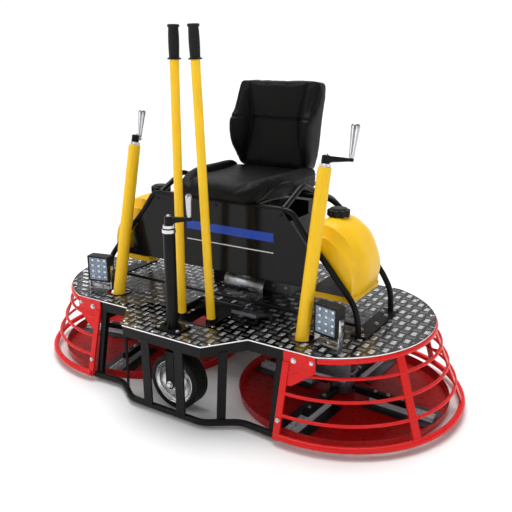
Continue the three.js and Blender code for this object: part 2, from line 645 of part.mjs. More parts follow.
function leverYoke() {
  const sleeve =
    rod(vec(LEVER.x - 20, LEVER.y, LEVER.axisZ), vec(LEVER.x + 20, LEVER.y, LEVER.axisZ), 17, 14);
  const tongue = block(LEVER.x - 7, LEVER.y - 17, LEVER.axisZ + 8, LEVER.x + 7, LEVER.y + 17, SWAY_Z + 13);
  const pin = rod(vec(LEVER.x, LEVER.y - 27, SWAY_Z), vec(LEVER.x, LEVER.y + 27, SWAY_Z), 6, 12);
  const bore = rod(vec(LEVER.x - 30, LEVER.y, LEVER.axisZ), vec(LEVER.x + 30, LEVER.y, LEVER.axisZ), 8.5, 12);
  return cut(join(sleeve, tongue, pin), bore);
}

function rightLever() {
  const cheek = (y) => block(LEVER.x - 12, y - 3, SWAY_Z - 13, LEVER.x + 12, y + 3, SWAY_Z + 22);
  const bridge = block(LEVER.x - 12, LEVER.y - 25, SWAY_Z + 16, LEVER.x + 12, LEVER.y + 25, SWAY_Z + 28);
  const bar = rod(alongLever(SWAY_Z + 27), alongLever(GRIP_BOTTOM_Z), LEVER.radius, 12);
  const spigot = rod(alongLever(GRIP_BOTTOM_Z - 2), alongLever(LEVER.topZ - 12), 11, 12);
  const bore = rod(vec(LEVER.x, LEVER.y - 40, SWAY_Z), vec(LEVER.x, LEVER.y + 40, SWAY_Z), 6.5, 12);
  return cut(join(cheek(LEVER.y - 22), cheek(LEVER.y + 22), bridge, bar, spigot), bore);
}

/** The rubber grip along +Z from 0, with a flange at each end and a blind bore. */
function leverGrip() {
  return turnedUp([[11.4, 0], [24.5, 0], [24.5, 4], [18.3, 7], [19.6, 50], [18.2, 106], [21.5, 110],
    [21.5, 116], [17, 119], [0, 119], [0, 111], [11.4, 111], [11.4, 0]], 14);
}

function addLevers() {
  add('left_lever', leftLever(), YELLOW);
  add('right_lever_yoke', leverYoke(), BLACK);
  add('right_lever', rightLever(), YELLOW);
  for (const [name, side] of [['left_grip', -1], ['right_grip', 1]]) {
    const foot = alongLever(GRIP_BOTTOM_Z + GAP);
    const aim = LEVER_TOP.clone().sub(foot).normalize();
    const place = group(side * foot.x, foot.y, foot.z);
    place.quaternion.setFromUnitVectors(vec(0, 0, 1), vec(side * aim.x, aim.y, aim.z));
    add(name, leverGrip(), RUBBER, place);
  }
}

// ---- pitch-control posts and jacks --------------------------------------------------------
/** A crank on +Z: a stub below zero, a collar, a hub, an arm along +X and the handle's pin. */
function crank(armLength, hubRadius, handleLength) {
  return join(
    upright(7, -40, 5, 0, 0, 12),
    upright(hubRadius + 6, 1, 13, 0, 0, 16),
    upright(hubRadius, 12, 44, 0, 0, 14),
    frontSlab([[0, 15], [armLength, 29], [armLength, 40], [0, 42]], -9, 9),
    upright(9, 28, 41, armLength, 0, 12),
    upright(4.5, 39, 42 + handleLength - 14, armLength, 0, 10),
  );
}

/** The turning handle that slips over the crank's pin, along +Z from 0. */
function crankHandle(length, bottom, top) {
  return turnedUp([[5, 0], [bottom, 0], [bottom + 1.5, length * 0.3], [top, length - 8], [top - 4, length],
    [0, length], [0, length - 9], [5, length - 9], [5, 0]], 14);
}

function pitchPost(length) {
  const bar = upright(POST.radius, 0, length, 0, 0, 16);
  const collar = upright(POST.radius + 5, 0, 12, 0, 0, 16);
  return cut(join(bar, collar), upright(7.6, length - 46, length + 1, 0, 0, 12));
}

function addPost(side, name, armDeg) {
  const length = POST_LENGTH[name];
  const post = group(side * POST.baseX, POST.baseY, POST.baseZ);
  post.rotation.x = -radians(POST.leanDeg);
  add(`${name}_pitch_post`, pitchPost(length), YELLOW, post);
  const top = group(0, 0, length, post);
  top.rotation.z = radians(armDeg);
  add(`${name}_pitch_crank`, crank(POST_ARM, 16, POST_HANDLE), BLACK, top);
  const handle = group(POST_ARM, 0, 42, top);
  add(`${name}_crank_handle`, crankHandle(POST_HANDLE, 9, 17), CHROME, handle);
}

function jackTube(height) {
  const { outer, bore } = JACK;
  const body = join(upright(outer, 0, height, 0, 0, 16), block(-58, -40, 0, 58, 40, 8));
  return cut(body, upright(bore, -1, height - 60, 0, 0, 16), upright(7.6, height - 50, height + 1));
}

/** The sliding leg, with the plate that carries the wheel's axle; y is measured from the jack. */
function jackLeg(top) {
  const axleZ = WHEEL.axleZ;
  return join(
    upright(JACK.leg, 252, top, 0, 0, 16),
    block(-22, -30, 246, 22, 19, 258),
    block(-20, -30, axleZ - 22, 20, -22, 250),
    rod(vec(0, -24, axleZ), vec(0, 68, axleZ), 9, 12),
  );
}

/** The wheel and tyre turn on the Y axis through their own centre. */
const rimProfile = [[9.4, -34], [22, -34], [24, -12], [80, -8], [86, -30], [90, -38], [90, 38],
  [82, 34], [78, 2], [24, 4], [22, 34], [9.4, 34], [9.4, -34]];
const tyreProfile = [[90.3, -37], [104, -40], [111, -34], [113, -20], [113, 20], [111, 34], [104, 40],
  [90.3, 37], [90.3, -37]];
const WHEEL_SIDES = 20;

function addJack(side, name) {
  const height = (side < 0 ? JACK.frontTop : JACK.rearTop) - DECK.top - GAP;
  const jack = group(0, side * JACK.y, 0);
  if (side > 0) jack.rotation.z = Math.PI;
  const column = group(0, 0, DECK.top + GAP, jack);
  add(`${name}_jack_tube`, jackTube(height), BLACK, column);
  add(`${name}_jack_leg`, jackLeg(DECK.top + height - 110), BLACK, jack);
  const top = group(0, 0, height, column);
  top.rotation.z = radians(28);
  const wheel = group(0, JACK.y - WHEEL.y, WHEEL.axleZ, jack);
  const rim = turned(rimProfile, WHEEL_SIDES);
  const tyre = turned(tyreProfile, WHEEL_SIDES);
  if (side < 0) {
    add('front_jack_crank', crank(76, 16, JACK_HANDLE), BLACK, top);
    add('front_jack_handle', crankHandle(JACK_HANDLE, 8, 12), CHROME, group(76, 0, 42, top));
    add('front_wheel', rim, STEEL, wheel);
    add('front_tyre', tyre, RUBBER, wheel);
  } else {
    add('rear_jack_crank', crank(76, 16, JACK_HANDLE), BLACK, top);
    add('rear_wheel', turned([[9.4, -34], [22, -34], [24, -12], [80, -8], [86, -37], [104, -40], [111, -34],
      [113, -20], [113, 20], [111, 34], [104, 40], [86, 37], [78, 2], [24, 4], [22, 34], [9.4, 34],
      [9.4, -34]], WHEEL_SIDES), RUBBER, wheel);
  }
}

// ---- lamps and pedal ----------------------------------------------------------------------
const LAMP_PIVOT_GAP = 0.6;

function lampBody() {
  const { width, height, depth } = LAMP;
  const half = width / 2;
  const body = block(-half, -depth / 2, -height / 2, half, depth / 2, height / 2);
  const fins = join(body, block(-38, depth / 2 - 1, -42, 38, depth / 2 + 14, 42));
  const bore = (side) => rod(vec(side * (half - 14), 0, 0), vec(side * (half + 5), 0, 0), 5.5, 12);
  return cut(fins, bore(-1), bore(1));
}

function lampBracket() {
  const inside = LAMP.width / 2 + LAMP_PIVOT_GAP;
  const floor = DECK.top + GAP - LAMP.z;
  const arm = (side) =>
    block(side < 0 ? -inside - 4 : inside, -14, floor, side < 0 ? -inside : inside + 4, 14, 14);
  const pin = (side) => rod(vec(side * (inside + 2), 0, 0), vec(side * (inside - 12), 0, 0), 5, 12);
  return join(block(-inside - 4, -18, floor, inside + 4, 18, floor + 4), arm(-1), arm(1), pin(-1), pin(1));
}

function addLamp(side, name) {
  const lamp = group(side * LAMP.x, LAMP.y, LAMP.z);
  lamp.rotation.z = -side * radians(LAMP.yawDeg);
  add(`${name}_lamp`, lampBody(), BLACK, lamp);
  add(`${name}_lamp_bracket`, lampBracket(), STEEL, lamp);
}

/** The treadle slopes up towards the toe (-Y) from its hinge barrel. */
function footPedal() {
  const { width, length } = PEDAL;
  const half = width / 2 - 1;
  const plate = block(-half, -length, 2, half, 0, 6);
  const lip = block(-half, -length, 2, half, -length + 5, 14);
  const barrel = rod(vec(-half, 0, 0), vec(half, 0, 0), 8, 12);
  const bore = rod(vec(-half - 5, 0, 0), vec(half + 5, 0, 0), 4.5, 12);
  return cut(join(plate, lip, barrel), bore);
}

// ---- assembly -----------------------------------------------------------------------------
add('main_frame', mainFrame(), BLACK);
add('deck_plate', deckPlate(), TREAD);
const rightGuard = guard();
add('right_guard', rightGuard, RED);
add('left_guard', mirrored(rightGuard, -1, 1), RED);
add('seat_frame', seatFrame(), BLACK);
add('front_panel', frontPanel(), BLACK);
add('belt_guard', beltGuard(), STEEL);

addRotor(-1, 'left');
addRotor(1, 'right');
add('right_gimbal', gimbal(), BLACK, group(ROTOR_X, 0, 0));

add('engine', engine(), CAST);
add('engine_pulley', enginePulley(), CAST, group(PULLEY.x, PULLEY.engineY, PULLEY.engineZ));
add('drive_shaft', driveShaft(), STEEL, group(0, 0, DRIVE_SHAFT_Z));
add('drive_belt', driveBelt(), RUBBER, group(PULLEY.x, 0, DRIVE_SHAFT_Z));

add('seat_cushion', seatCushion(), LEATHER);
add('seat_backrest', seatBackrest(), LEATHER);
const rightTank = tank();
add('right_tank', rightTank, YELLOW);
add('left_tank', mirrored(rightTank, -1, 1), YELLOW);
add('right_tank_cap', tankCap(), BLACK, group(CAP.x, CAP.y, CAP.z));
add('left_tank_cap', tankCap(), BLACK, group(-CAP.x, CAP.y, CAP.z));

addLevers();
addPost(-1, 'left', 122);
addPost(1, 'right', 0);
addJack(-1, 'front');
addJack(1, 'rear');
addLamp(-1, 'left');
addLamp(1, 'right');

const pedal = group(PEDAL.x, PEDAL.hingeY, PEDAL.hingeZ);
pedal.rotation.x = -radians(PEDAL.slopeDeg);
add('foot_pedal', footPedal(), STEEL, pedal);

export default model;
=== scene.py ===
"""Looks of the ride-on power trowel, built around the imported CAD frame.

Shapes are drawn in millimetres in the CAD's own frame (+X long axis, -Y front, +Z up)
and become metres when a piece is made.
"""
import math

import bpy
import bmesh
from mathutils import Matrix, Vector
from mathutils.geometry import tessellate_polygon


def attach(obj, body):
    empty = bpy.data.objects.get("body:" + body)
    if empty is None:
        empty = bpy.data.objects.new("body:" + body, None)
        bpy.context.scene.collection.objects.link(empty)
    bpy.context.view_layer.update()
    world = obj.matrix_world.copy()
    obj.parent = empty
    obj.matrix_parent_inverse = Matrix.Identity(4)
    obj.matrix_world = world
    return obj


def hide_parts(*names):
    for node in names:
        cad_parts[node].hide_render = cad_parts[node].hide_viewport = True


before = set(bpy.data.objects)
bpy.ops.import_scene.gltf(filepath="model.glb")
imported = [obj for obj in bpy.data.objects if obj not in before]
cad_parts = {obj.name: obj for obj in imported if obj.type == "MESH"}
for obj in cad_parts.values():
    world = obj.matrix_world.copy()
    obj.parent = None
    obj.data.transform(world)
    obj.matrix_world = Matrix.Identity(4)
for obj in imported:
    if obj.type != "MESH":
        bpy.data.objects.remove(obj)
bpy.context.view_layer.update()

MM = 0.001
TAU = 2 * math.pi

# ---- driving sizes, the same as the CAD's ----------------------------------------------------
ROTOR_X = 500
DECK_TOP, DECK_PLATE = 345, 5
DECK_FRONT, BAY_FRONT, BAY_BASE_X, BAY_TIP_X = 409, 556, 298, 189
END_X, END_RADIUS, END_BOLT_R = 408, 442, 424
SKIRT_BOTTOM = 298
BEAM_BOTTOM, BEAM_Y, BEAM_HALF, BEAM_END, CROSS_X = 299, 150, 20, 650, 150
BAY_SLOPE = 0.503  # how far the bay's corners move in x for a move of its edge in y
POST_HOLE_Y, POST_HOLE_R = -285, 50
BUMPER_Z, BUMPER_R = 25, 13
GUARD_END_X = 457
GUARD_RINGS = [(34, 988, 12.6), (111, 950, 6.5), (188, 915, 6.5), (265, 883, 6.5)]
GUARD_TOP_Z, GUARD_TOP_RADIUS, GUARD_TOP_TUBE = 328.4, 439, 11
GUARD_BAR_ANGLES = (-31, 13.5, 58)
HOOP_FRONT_Y, HOOP_REAR_Y, HOOP_TUBE, RAIL_X = -165, 125, 11.5, 300
POST_X, POST_Y, POST_Z, POST_RADIUS, POST_LEAN = 457, -295.3, 307.5, 25.5, 13.4
POST_LENGTH = {"left": 683, "right": 666}
POST_ARM, POST_HANDLE, CRANK_HEIGHT = 98, 120, 42
JACK_ARM, JACK_HANDLE = 76, 86
LEVER_FOOT, LEVER_TOP = Vector((74, -326, 285)), Vector((44, -356, 1446.5))
LEVER_RADIUS, GRIP_LENGTH = 17, 119
SWAY_Z = 322
JACK_Y, JACK_TOPS, JACK_OUTER = 476, {"front": 740, "rear": 600}, 22.5
WHEEL_Y, WHEEL_Z = 448, 120
LAMP_X, LAMP_Y, LAMP_Z, LAMP_YAW = 563, -282, 438, 13
PEDAL_X, PEDAL_Y, PEDAL_Z, PEDAL_SLOPE = 210, -200, 356, 14
BLADE_INNER, BLADE_OUTER, BLADE_HALF, BLADE_PIVOT_Z = 120, 408, 70, 38
BLADE_START = {"left": 11, "right": -4}
TILT_Z, SHAFT_Z = 255, 205
CAP = Vector((448, 12, 744.3))


# ---- materials -------------------------------------------------------------------------------
def set_range(node, low, high, out_low, out_high):
    """The four numbers of a Map Range node."""
    for key, number in zip(("From Min", "From Max", "To Min", "To Max"), (low, high, out_low, out_high)):
        node.inputs[key].default_value = number


class Nodes:
    """A material's node tree with short calls for the nodes used here."""

    def __init__(self, name, color, roughness, metallic=0.0, specular=0.5):
        self.material = bpy.data.materials.new(name)
        self.material.use_nodes = True
        self.tree = self.material.node_tree
        self.shader = self.tree.nodes["Principled BSDF"]
        self.shader.inputs["Base Color"].default_value = (*color, 1)
        self.shader.inputs["Roughness"].default_value = roughness
        self.shader.inputs["Metallic"].default_value = metallic
        self.shader.inputs["Specular IOR Level"].default_value = specular
        self.place = self.new("ShaderNodeTexCoord").outputs["Object"]

    def new(self, kind, **settings):
        node = self.tree.nodes.new(kind)
        for key, value in settings.items():
            setattr(node, key, value)
        return node

    def link(self, source, target):
        self.tree.links.new(source, target)

    def stretched(self, scale):
        mapping = self.new("ShaderNodeMapping")
        mapping.inputs["Scale"].default_value = scale
        self.link(self.place, mapping.inputs["Vector"])
        return mapping.outputs["Vector"]

    def noise(self, scale, detail=3.0, rough=0.55, place=None):
        node = self.new("ShaderNodeTexNoise")
        node.inputs["Scale"].default_value = scale
        node.inputs["Detail"].default_value = detail
        node.inputs["Roughness"].default_value = rough
        self.link(place or self.place, node.inputs["Vector"])
        return node.outputs["Fac"]

    def cells(self, scale, feature="DISTANCE_TO_EDGE", place=None):
        node = self.new("ShaderNodeTexVoronoi", feature=feature)
        node.inputs["Scale"].default_value = scale
        self.link(place or self.place, node.inputs["Vector"])
        return node.outputs["Distance"]

    def ramp(self, value, low, high, out_low, out_high):
        node = self.new("ShaderNodeMapRange")
        set_range(node, low, high, out_low, out_high)
        self.link(value, node.inputs["Value"])
        return node.outputs["Result"]

    def math(self, operation, a, b):
        node = self.new("ShaderNodeMath", operation=operation)
        for socket, value in zip(node.inputs, (a, b)):
            if isinstance(value, (int, float)):
                socket.default_value = value
            else:
                self.link(value, socket)
        return node.outputs["Value"]

    def color_mix(self, factor, first, second):
        node = self.new("ShaderNodeMix", data_type="RGBA")
        self.link(factor, node.inputs["Factor"])
        for socket, value in ((node.inputs[6], first), (node.inputs[7], second)):
            if isinstance(value, tuple):
                socket.default_value = (*value, 1)
            else:
                self.link(value, socket)
        return node.outputs[2]

    def colored(self, output):
        self.link(output, self.shader.inputs["Base Color"])

    def two_toned(self, value, low, high, first, second):
        """Base colour going from first to second as value goes from low to high."""
        self.colored(self.color_mix(self.ramp(value, low, high, 0, 1), first, second))

    def roughened(self, output):
        self.link(output, self.shader.inputs["Roughness"])

    def bumped(self, height, distance, strength=1.0):
        node = self.new("ShaderNodeBump")
        node.inputs["Distance"].default_value = distance
        node.inputs["Strength"].default_value = strength
        self.link(height, node.inputs["Height"])
        if self.shader.inputs["Normal"].is_linked:
            before = self.shader.inputs["Normal"].links[0].from_socket
            self.link(before, node.inputs["Normal"])
        self.link(node.outputs["Normal"], self.shader.inputs["Normal"])


def shade(color, factor):
    return tuple(min(1.0, c * factor) for c in color)


def painted(name, color, roughness, peel=0.00012, vary=0.12, dust=0.0, specular=0.5):
    """Powder coat: fine orange peel, slow colour and gloss variation, a little dust."""
    n = Nodes(name, color, roughness, specular=specular)
    slow = n.noise(9, 4, 0.6)
    base = n.color_mix(n.ramp(slow, 0.3, 0.7, 0, 1), shade(color, 1 - vary), shade(color, 1 + vary))
    if dust:
        specks = n.ramp(n.noise(60, 6, 0.75), 0.55, 0.8, 0, dust)
        base = n.color_mix(specks, base, (0.45, 0.43, 0.41))
    n.colored(base)
    n.roughened(n.ramp(n.noise(35, 3, 0.6), 0.3, 0.7, roughness * 0.8, roughness * 1.25))
    n.bumped(n.noise(420, 2, 0.5), peel)
    return n.material


def metal(name, color, roughness, stretch=(1, 1, 1), vary=0.15, grain=0.00006, scale=160):
    """Bare metal with brushing along the unstretched direction and cloudy gloss."""
    n = Nodes(name, color, roughness, metallic=1.0)
    lines = n.noise(scale, 3, 0.6, n.stretched(stretch))
    clouds = n.noise(14, 5, 0.65)
    n.two_toned(clouds, 0.3, 0.72, shade(color, 1 - vary), shade(color, 1 + vary))
    n.roughened(n.ramp(n.math("MULTIPLY", lines, clouds), 0.1, 0.45, roughness * 0.7, roughness * 1.35))
    n.bumped(lines, grain)
    return n.material


def plastic(name, color, roughness, grain=0.00012, cell=900, specular=0.5, vary=0.15):
    """Moulded plastic or rubber with a fine spark-eroded grain."""
    n = Nodes(name, color, roughness, specular=specular)
    n.two_toned(n.noise(12, 4, 0.6), 0.3, 0.7, shade(color, 1 - vary), shade(color, 1 + vary))
    n.roughened(n.ramp(n.noise(50, 3, 0.6), 0.3, 0.7, roughness * 0.85, roughness * 1.15))
    n.bumped(n.cells(cell, "F1"), grain)
    return n.material


def cast(name, color, roughness, metallic):
    """A sand-cast skin: coarse lumps with a fine grain on them."""
    n = Nodes(name, color, roughness, metallic=metallic)
    coarse = n.noise(90, 6, 0.7)
    n.two_toned(coarse, 0.3, 0.75, shade(color, 0.7), shade(color, 1.25))
    n.roughened(n.ramp(n.noise(40, 4, 0.6), 0.3, 0.7, roughness * 0.8, min(1, roughness * 1.3)))
    n.bumped(coarse, 0.0006, 0.6)
    n.bumped(n.noise(500, 2, 0.5), 0.00015)
    return n.material


def leatherette():
    """Black seat cover: cell grain with pores, rubbed duller in places."""
    n = Nodes("leatherette", (0.005, 0.005, 0.005), 0.4, specular=0.10)
    grain = n.cells(620)
    pores = n.cells(1500, "F1")
    rub = n.noise(7, 5, 0.6)
    n.two_toned(rub, 0.35, 0.75, (0.0035, 0.0035, 0.0035), (0.0062, 0.0060, 0.0058))
    n.roughened(n.ramp(rub, 0.3, 0.7, 0.33, 0.46))
    n.bumped(n.ramp(grain, 0.0, 0.25, 0, 1), 0.00035, 0.7)
    n.bumped(pores, 0.00012, 0.5)
    n.bumped(n.noise(26, 4, 0.55), 0.004, 0.35)
    return n.material


def tread_metal():
    """Dark worn aluminium, rubbed brighter in patches."""
    n = Nodes("tread_aluminium", (0.12, 0.12, 0.125), 0.22, metallic=1.0)
    scuff = n.noise(34, 5, 0.65)
    patches = n.noise(5, 4, 0.6)
    base = n.color_mix(n.ramp(patches, 0.35, 0.7, 0, 1), (0.10, 0.10, 0.105), (0.15, 0.15, 0.155))
    n.colored(n.color_mix(n.ramp(scuff, 0.58, 0.82, 0, 0.3), base, (0.22, 0.22, 0.22)))
    n.roughened(n.ramp(scuff, 0.3, 0.75, 0.16, 0.28))
    n.bumped(n.noise(260, 3, 0.5), 0.00004)
    return n.material


def glass(name, color, roughness):
    """A thin clear cover, seen through without refraction."""
    n = Nodes(name, color, roughness, specular=0.3)
    n.shader.inputs["Alpha"].default_value = 0.16
    n.bumped(n.noise(70, 2, 0.5), 0.0003)
    n.two_toned(n.noise(20, 2), 0.3, 0.7, shade(color, 0.9), color)
    return n.material


def glowing(name, color, strength):
    n = Nodes(name, color, 0.3)
    n.shader.inputs["Emission Color"].default_value = (*color, 1)
    n.shader.inputs["Emission Strength"].default_value = strength
    n.two_toned(n.noise(300, 2), 0.3, 0.7, shade(color, 0.8), color)
    return n.material


RED = painted("red_paint", (0.68, 0.008, 0.008), 0.3, peel=0.00004, vary=0.04, specular=0.25)
PAN_RED = painted("pan_red", (0.46, 0.003, 0.003), 0.3, peel=0.00004, vary=0.1, specular=0.2)
YELLOW = painted("yellow_paint", (0.93, 0.56, 0.010), 0.34, vary=0.04, specular=0.3)
TANK_YELLOW = plastic("yellow_plastic", (0.90, 0.53, 0.008), 0.34, grain=0.00006, cell=700, vary=0.04,
                      specular=0.3)
BLACK = painted("black_paint", (0.0060, 0.0058, 0.0056), 0.32, specular=0.13, vary=0.2, dust=0.01)
GLOSS_BLACK = painted("gloss_black", (0.006, 0.006, 0.006), 0.12, specular=0.16, peel=0.00002, vary=0.2)
BLACK_PLASTIC = plastic("black_plastic", (0.007, 0.007, 0.007), 0.4, specular=0.18)
GRIP = plastic("grip_rubber", (0.008, 0.008, 0.008), 0.55, grain=0.0002, cell=700, specular=0.2)
TYRE = plastic("tyre_rubber", (0.007, 0.007, 0.007), 0.6, grain=0.00025, cell=500, specular=0.2)
TREAD = tread_metal()
# two copies of one bar metal: the lighter one is a painted highlight for bars along Y, the darker one painted
# shade for bars along X
TREAD_BAR_LIT = metal("tread_bar_painted_highlight", (0.46, 0.46, 0.47), 0.3, vary=0.12)
TREAD_BAR_SHADED = metal("tread_bar_painted_shade", (0.20, 0.20, 0.205), 0.26, vary=0.15)
BRIGHT_EDGE = metal("bright_edge", (0.86, 0.86, 0.87), 0.3, (1, 1, 6))
STEEL = metal("bare_steel", (0.50, 0.51, 0.54), 0.28, (1, 14, 14))
DARK_STEEL = metal("dark_steel", (0.09, 0.09, 0.10), 0.34, (1, 10, 10), vary=0.25)
ZINC = metal("zinc_bolt", (0.62, 0.62, 0.64), 0.26, vary=0.1)
CHROME = metal("chrome", (0.50, 0.50, 0.54), 0.16, vary=0.06, grain=0.00001)
RIM = metal("polished_rim", (0.66, 0.66, 0.67), 0.24, (6, 6, 1), vary=0.06)
SILVER = painted("silver_paint", (0.50, 0.51, 0.54), 0.3, vary=0.05, specular=0.6)
CAST = cast("cast_housing", (0.13, 0.135, 0.145), 0.45, 0.85)
ALLOY = cast("engine_alloy", (0.20, 0.21, 0.22), 0.4, 0.9)
LEATHER = leatherette()
PIPING = plastic("seat_piping", (0.035, 0.035, 0.035), 0.4, specular=0.3)
REFLECTOR = metal("lamp_reflector", (0.08, 0.105, 0.14), 0.14, vary=0.35)
LENS = glass("lamp_lens", (0.70, 0.82, 0.95), 0.04)
LED = glowing("lamp_led", (0.72, 0.84, 1.0), 0.38)
STRIPE_BLUE = painted("stripe_blue", (0.018, 0.06, 0.38), 0.3, specular=0.2)
STRIPE_WHITE = painted("stripe_white", (0.72, 0.72, 0.72), 0.35)


# ---- drawing ---------------------------------------------------------------------------------
def ring_faces(rows, count, start=0, closed=False):
    """Quads between rows of count points each, in the order the points are numbered."""
    return [(start + r * count + k, start + r * count + (k + 1) % count,
             start + (r + 1) % rows * count + (k + 1) % count, start + (r + 1) % rows * count + k)
            for r in range(rows if closed else rows - 1) for k in range(count)]


class Shape:
    """Vertices and faces in millimetres; each face keeps the number of its material."""

    def __init__(self):
        self.verts = []
        self.faces = []
        self.slots = []

    def add(self, verts, faces, slot=0, place=None):
        start = len(self.verts)
        self.verts += [(place @ Vector(v)) if place else Vector(v) for v in verts]
        self.faces += [tuple(start + i for i in f) for f in faces]
        self.slots += [slot] * len(faces)
        return self

    def join(self, other, place=None):
        start = len(self.verts)
        self.verts += [(place @ v) if place else v.copy() for v in other.verts]
        flip = place is not None and place.to_3x3().determinant() < 0
        self.faces += [tuple(start + i for i in (reversed(f) if flip else f)) for f in other.faces]
        self.slots += other.slots
        return self

    def block(self, low, high, slot=0, place=None):
        (x0, y0, z0), (x1, y1, z1) = low, high
        verts = [(x, y, z) for z in (z0, z1) for y in (y0, y1) for x in (x0, x1)]
        faces = [(0, 2, 3, 1), (4, 5, 7, 6), (0, 1, 5, 4), (1, 3, 7, 5), (3, 2, 6, 7), (2, 0, 4, 6)]
        return self.add(verts, faces, slot, place)

    def bar(self, start, end, width, thickness, wide, slot=0):
        """A flat bar between two points; `wide` is the direction of its width."""
        start, end = Vector(start), Vector(end)
        z = (end - start).normalized()
        x = Vector(wide)
        x = (x - z * x.dot(z)).normalized()
        turn = Matrix((x, z.cross(x), z)).transposed().to_4x4()
        place = Matrix.Translation((start + end) / 2) @ turn
        half = (end - start).length / 2
        return self.block((-width / 2, -thickness / 2, -half), (width / 2, thickness / 2, half), slot, place)

    def tube(self, points, radius, sides=16, slot=0, closed=False):
        """A round tube along points, with its section carried along without twist."""
        points = [Vector(p) for p in points]
        count = len(points)
        tangents = []
        for i in range(count):
            before = points[i - 1] if i or closed else points[0]
            after = points[(i + 1) % count] if i < count - 1 or closed else points[-1]
            tangents.append((after - before).normalized())
        normal = tangents[0].orthogonal().normalized()
        verts = []
        for point, tangent in zip(points, tangents):
            normal = (normal - tangent * normal.dot(tangent)).normalized()
            side = tangent.cross(normal)
            for k in range(sides):
                angle = TAU * k / sides
                verts.append(point + radius * (math.cos(angle) * normal + math.sin(angle) * side))
        faces = ring_faces(count, sides, closed=closed)
        if not closed:
            faces.append(tuple(reversed(range(sides))))
            faces.append(tuple((count - 1) * sides + k for k in range(sides)))
        return self.add(verts, faces, slot)

    def rod(self, start, end, radius, sides=24, slot=0):
        return self.tube([start, end], radius, sides, slot)

    def turned(self, profile, sides=32, slot=0, place=None):
        """Revolves (radius, height) points about Z; ends on the axis or closes on itself."""
        rings, verts = [], []
        for radius, height in profile:
            if radius < 1e-6:
                rings.append([len(verts)])
                verts.append((0, 0, height))
            else:
                rings.append(list(range(len(verts), len(verts) + sides)))
                verts += [(radius * math.cos(TAU * k / sides), radius * math.sin(TAU * k / sides), height)
                          for k in range(sides)]
        faces = []
        pairs = list(zip(rings, rings[1:]))
        if profile[0][0] > 1e-6:
            pairs.append((rings[-1], rings[0]))
        for low, high in pairs:
            for k in range(sides):
                j = (k + 1) % sides
                if len(low) == 1 and len(high) > 1:
                    faces.append((low[0], high[j], high[k]))
                elif len(high) == 1 and len(low) > 1:
                    faces.append((low[k], low[j], high[0]))
                elif len(low) > 1:
                    faces.append((low[k], low[j], high[j], high[k]))
        return self.add(verts, faces, slot, place)

    def plate(self, outline, low, high, holes=(), slot=0, edge_slot=None, place=None):
        """An outline in XY with holes, from height low to high."""
        loops = [outline, *holes]
        flat = [[Vector((x, y, 0)) for x, y in loop] for loop in loops]
        tris = tessellate_polygon(flat)
        points = [p for loop in loops for p in loop]
        count = len(points)

        def facing(tri):
            (ax, ay), (bx, by), (cx, cy) = (points[i] for i in tri)
            return tri if (bx - ax) * (cy - ay) - (by - ay) * (cx - ax) > 0 else tuple(reversed(tri))
        tris = [facing(tuple(t)) for t in tris]
        verts = [(x, y, low) for x, y in points] + [(x, y, high) for x, y in points]
        caps = [tuple(reversed(t)) for t in tris] + [tuple(i + count for i in t) for t in tris]
        sides, start = [], 0
        for number, loop in enumerate(loops):
            area = sum(ax * by - bx * ay for (ax, ay), (bx, by) in zip(loop, loop[1:] + loop[:1]))
            outward = (area > 0) == (number == 0)
            for i in range(len(loop)):
                a, b = start + i, start + (i + 1) % len(loop)
                side = (a, b, b + count, a + count)
                sides.append(side if outward else tuple(reversed(side)))
            start += len(loop)
        self.add(verts, caps + sides, slot, place)
        if edge_slot is not None:
            self.slots[-len(sides):] = [edge_slot] * len(sides)
        return self

    def turned_out(self):
        """Every face looks the other way."""
        self.faces = [tuple(reversed(f)) for f in self.faces]
        return self

    def mirrored(self, x=1, y=1):
        return Shape().join(self, Matrix.Diagonal((x, y, 1, 1)))


def spun(degrees, axis):
    return Matrix.Rotation(math.radians(degrees), 4, axis)


def moved(x, y, z):
    """A move given in millimetres, for a piece's place in metres."""
    return Matrix.Translation((x * MM, y * MM, z * MM))


def both_sides(shape):
    """The shape and its mirror images left and right."""
    return Shape().join(shape).join(shape.mirrored(x=-1))


def front_and_back(shape):
    return Shape().join(shape).join(shape.mirrored(y=-1))


def round_edges(thing, width, segments, sharp_deg):
    rounding = thing.modifiers.new("edges", "BEVEL")
    rounding.width = width * MM
    rounding.segments = segments
    rounding.limit_method = "ANGLE"
    rounding.angle_limit = math.radians(sharp_deg)
    rounding.harden_normals = True


def piece(name, shape, body, materials, replaces=(), bevel=1.0, segments=2, smooth_deg=35,
          subdivide=0, place=None):
    """Makes the object, rounds its edges and puts it on its CAD body."""
    mesh = bpy.data.meshes.new(name)
    mesh.from_pydata([tuple(v * MM) for v in shape.verts], [], shape.faces)
    mesh.validate()
    for material in materials:
        mesh.materials.append(material)
    if len(mesh.polygons) == len(shape.slots):
        mesh.polygons.foreach_set("material_index", shape.slots)
    cleaner = bmesh.new()
    cleaner.from_mesh(mesh)
    bmesh.ops.remove_doubles(cleaner, verts=cleaner.verts, dist=1e-6)
    cleaner.to_mesh(mesh)
    cleaner.free()
    mesh.polygons.foreach_set("use_smooth", [True] * len(mesh.polygons))
    mesh.set_sharp_from_angle(angle=math.radians(smooth_deg))
    thing = bpy.data.objects.new(name, mesh)
    bpy.context.scene.collection.objects.link(thing)
    if place is not None:
        thing.matrix_world = place
    if bevel:
        round_edges(thing, bevel, segments, 40)
    if subdivide:
        finer = thing.modifiers.new("finer", "SUBSURF")
        finer.levels = finer.render_levels = subdivide
    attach(thing, body)
    if replaces:
        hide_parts(*replaces)
    return thing


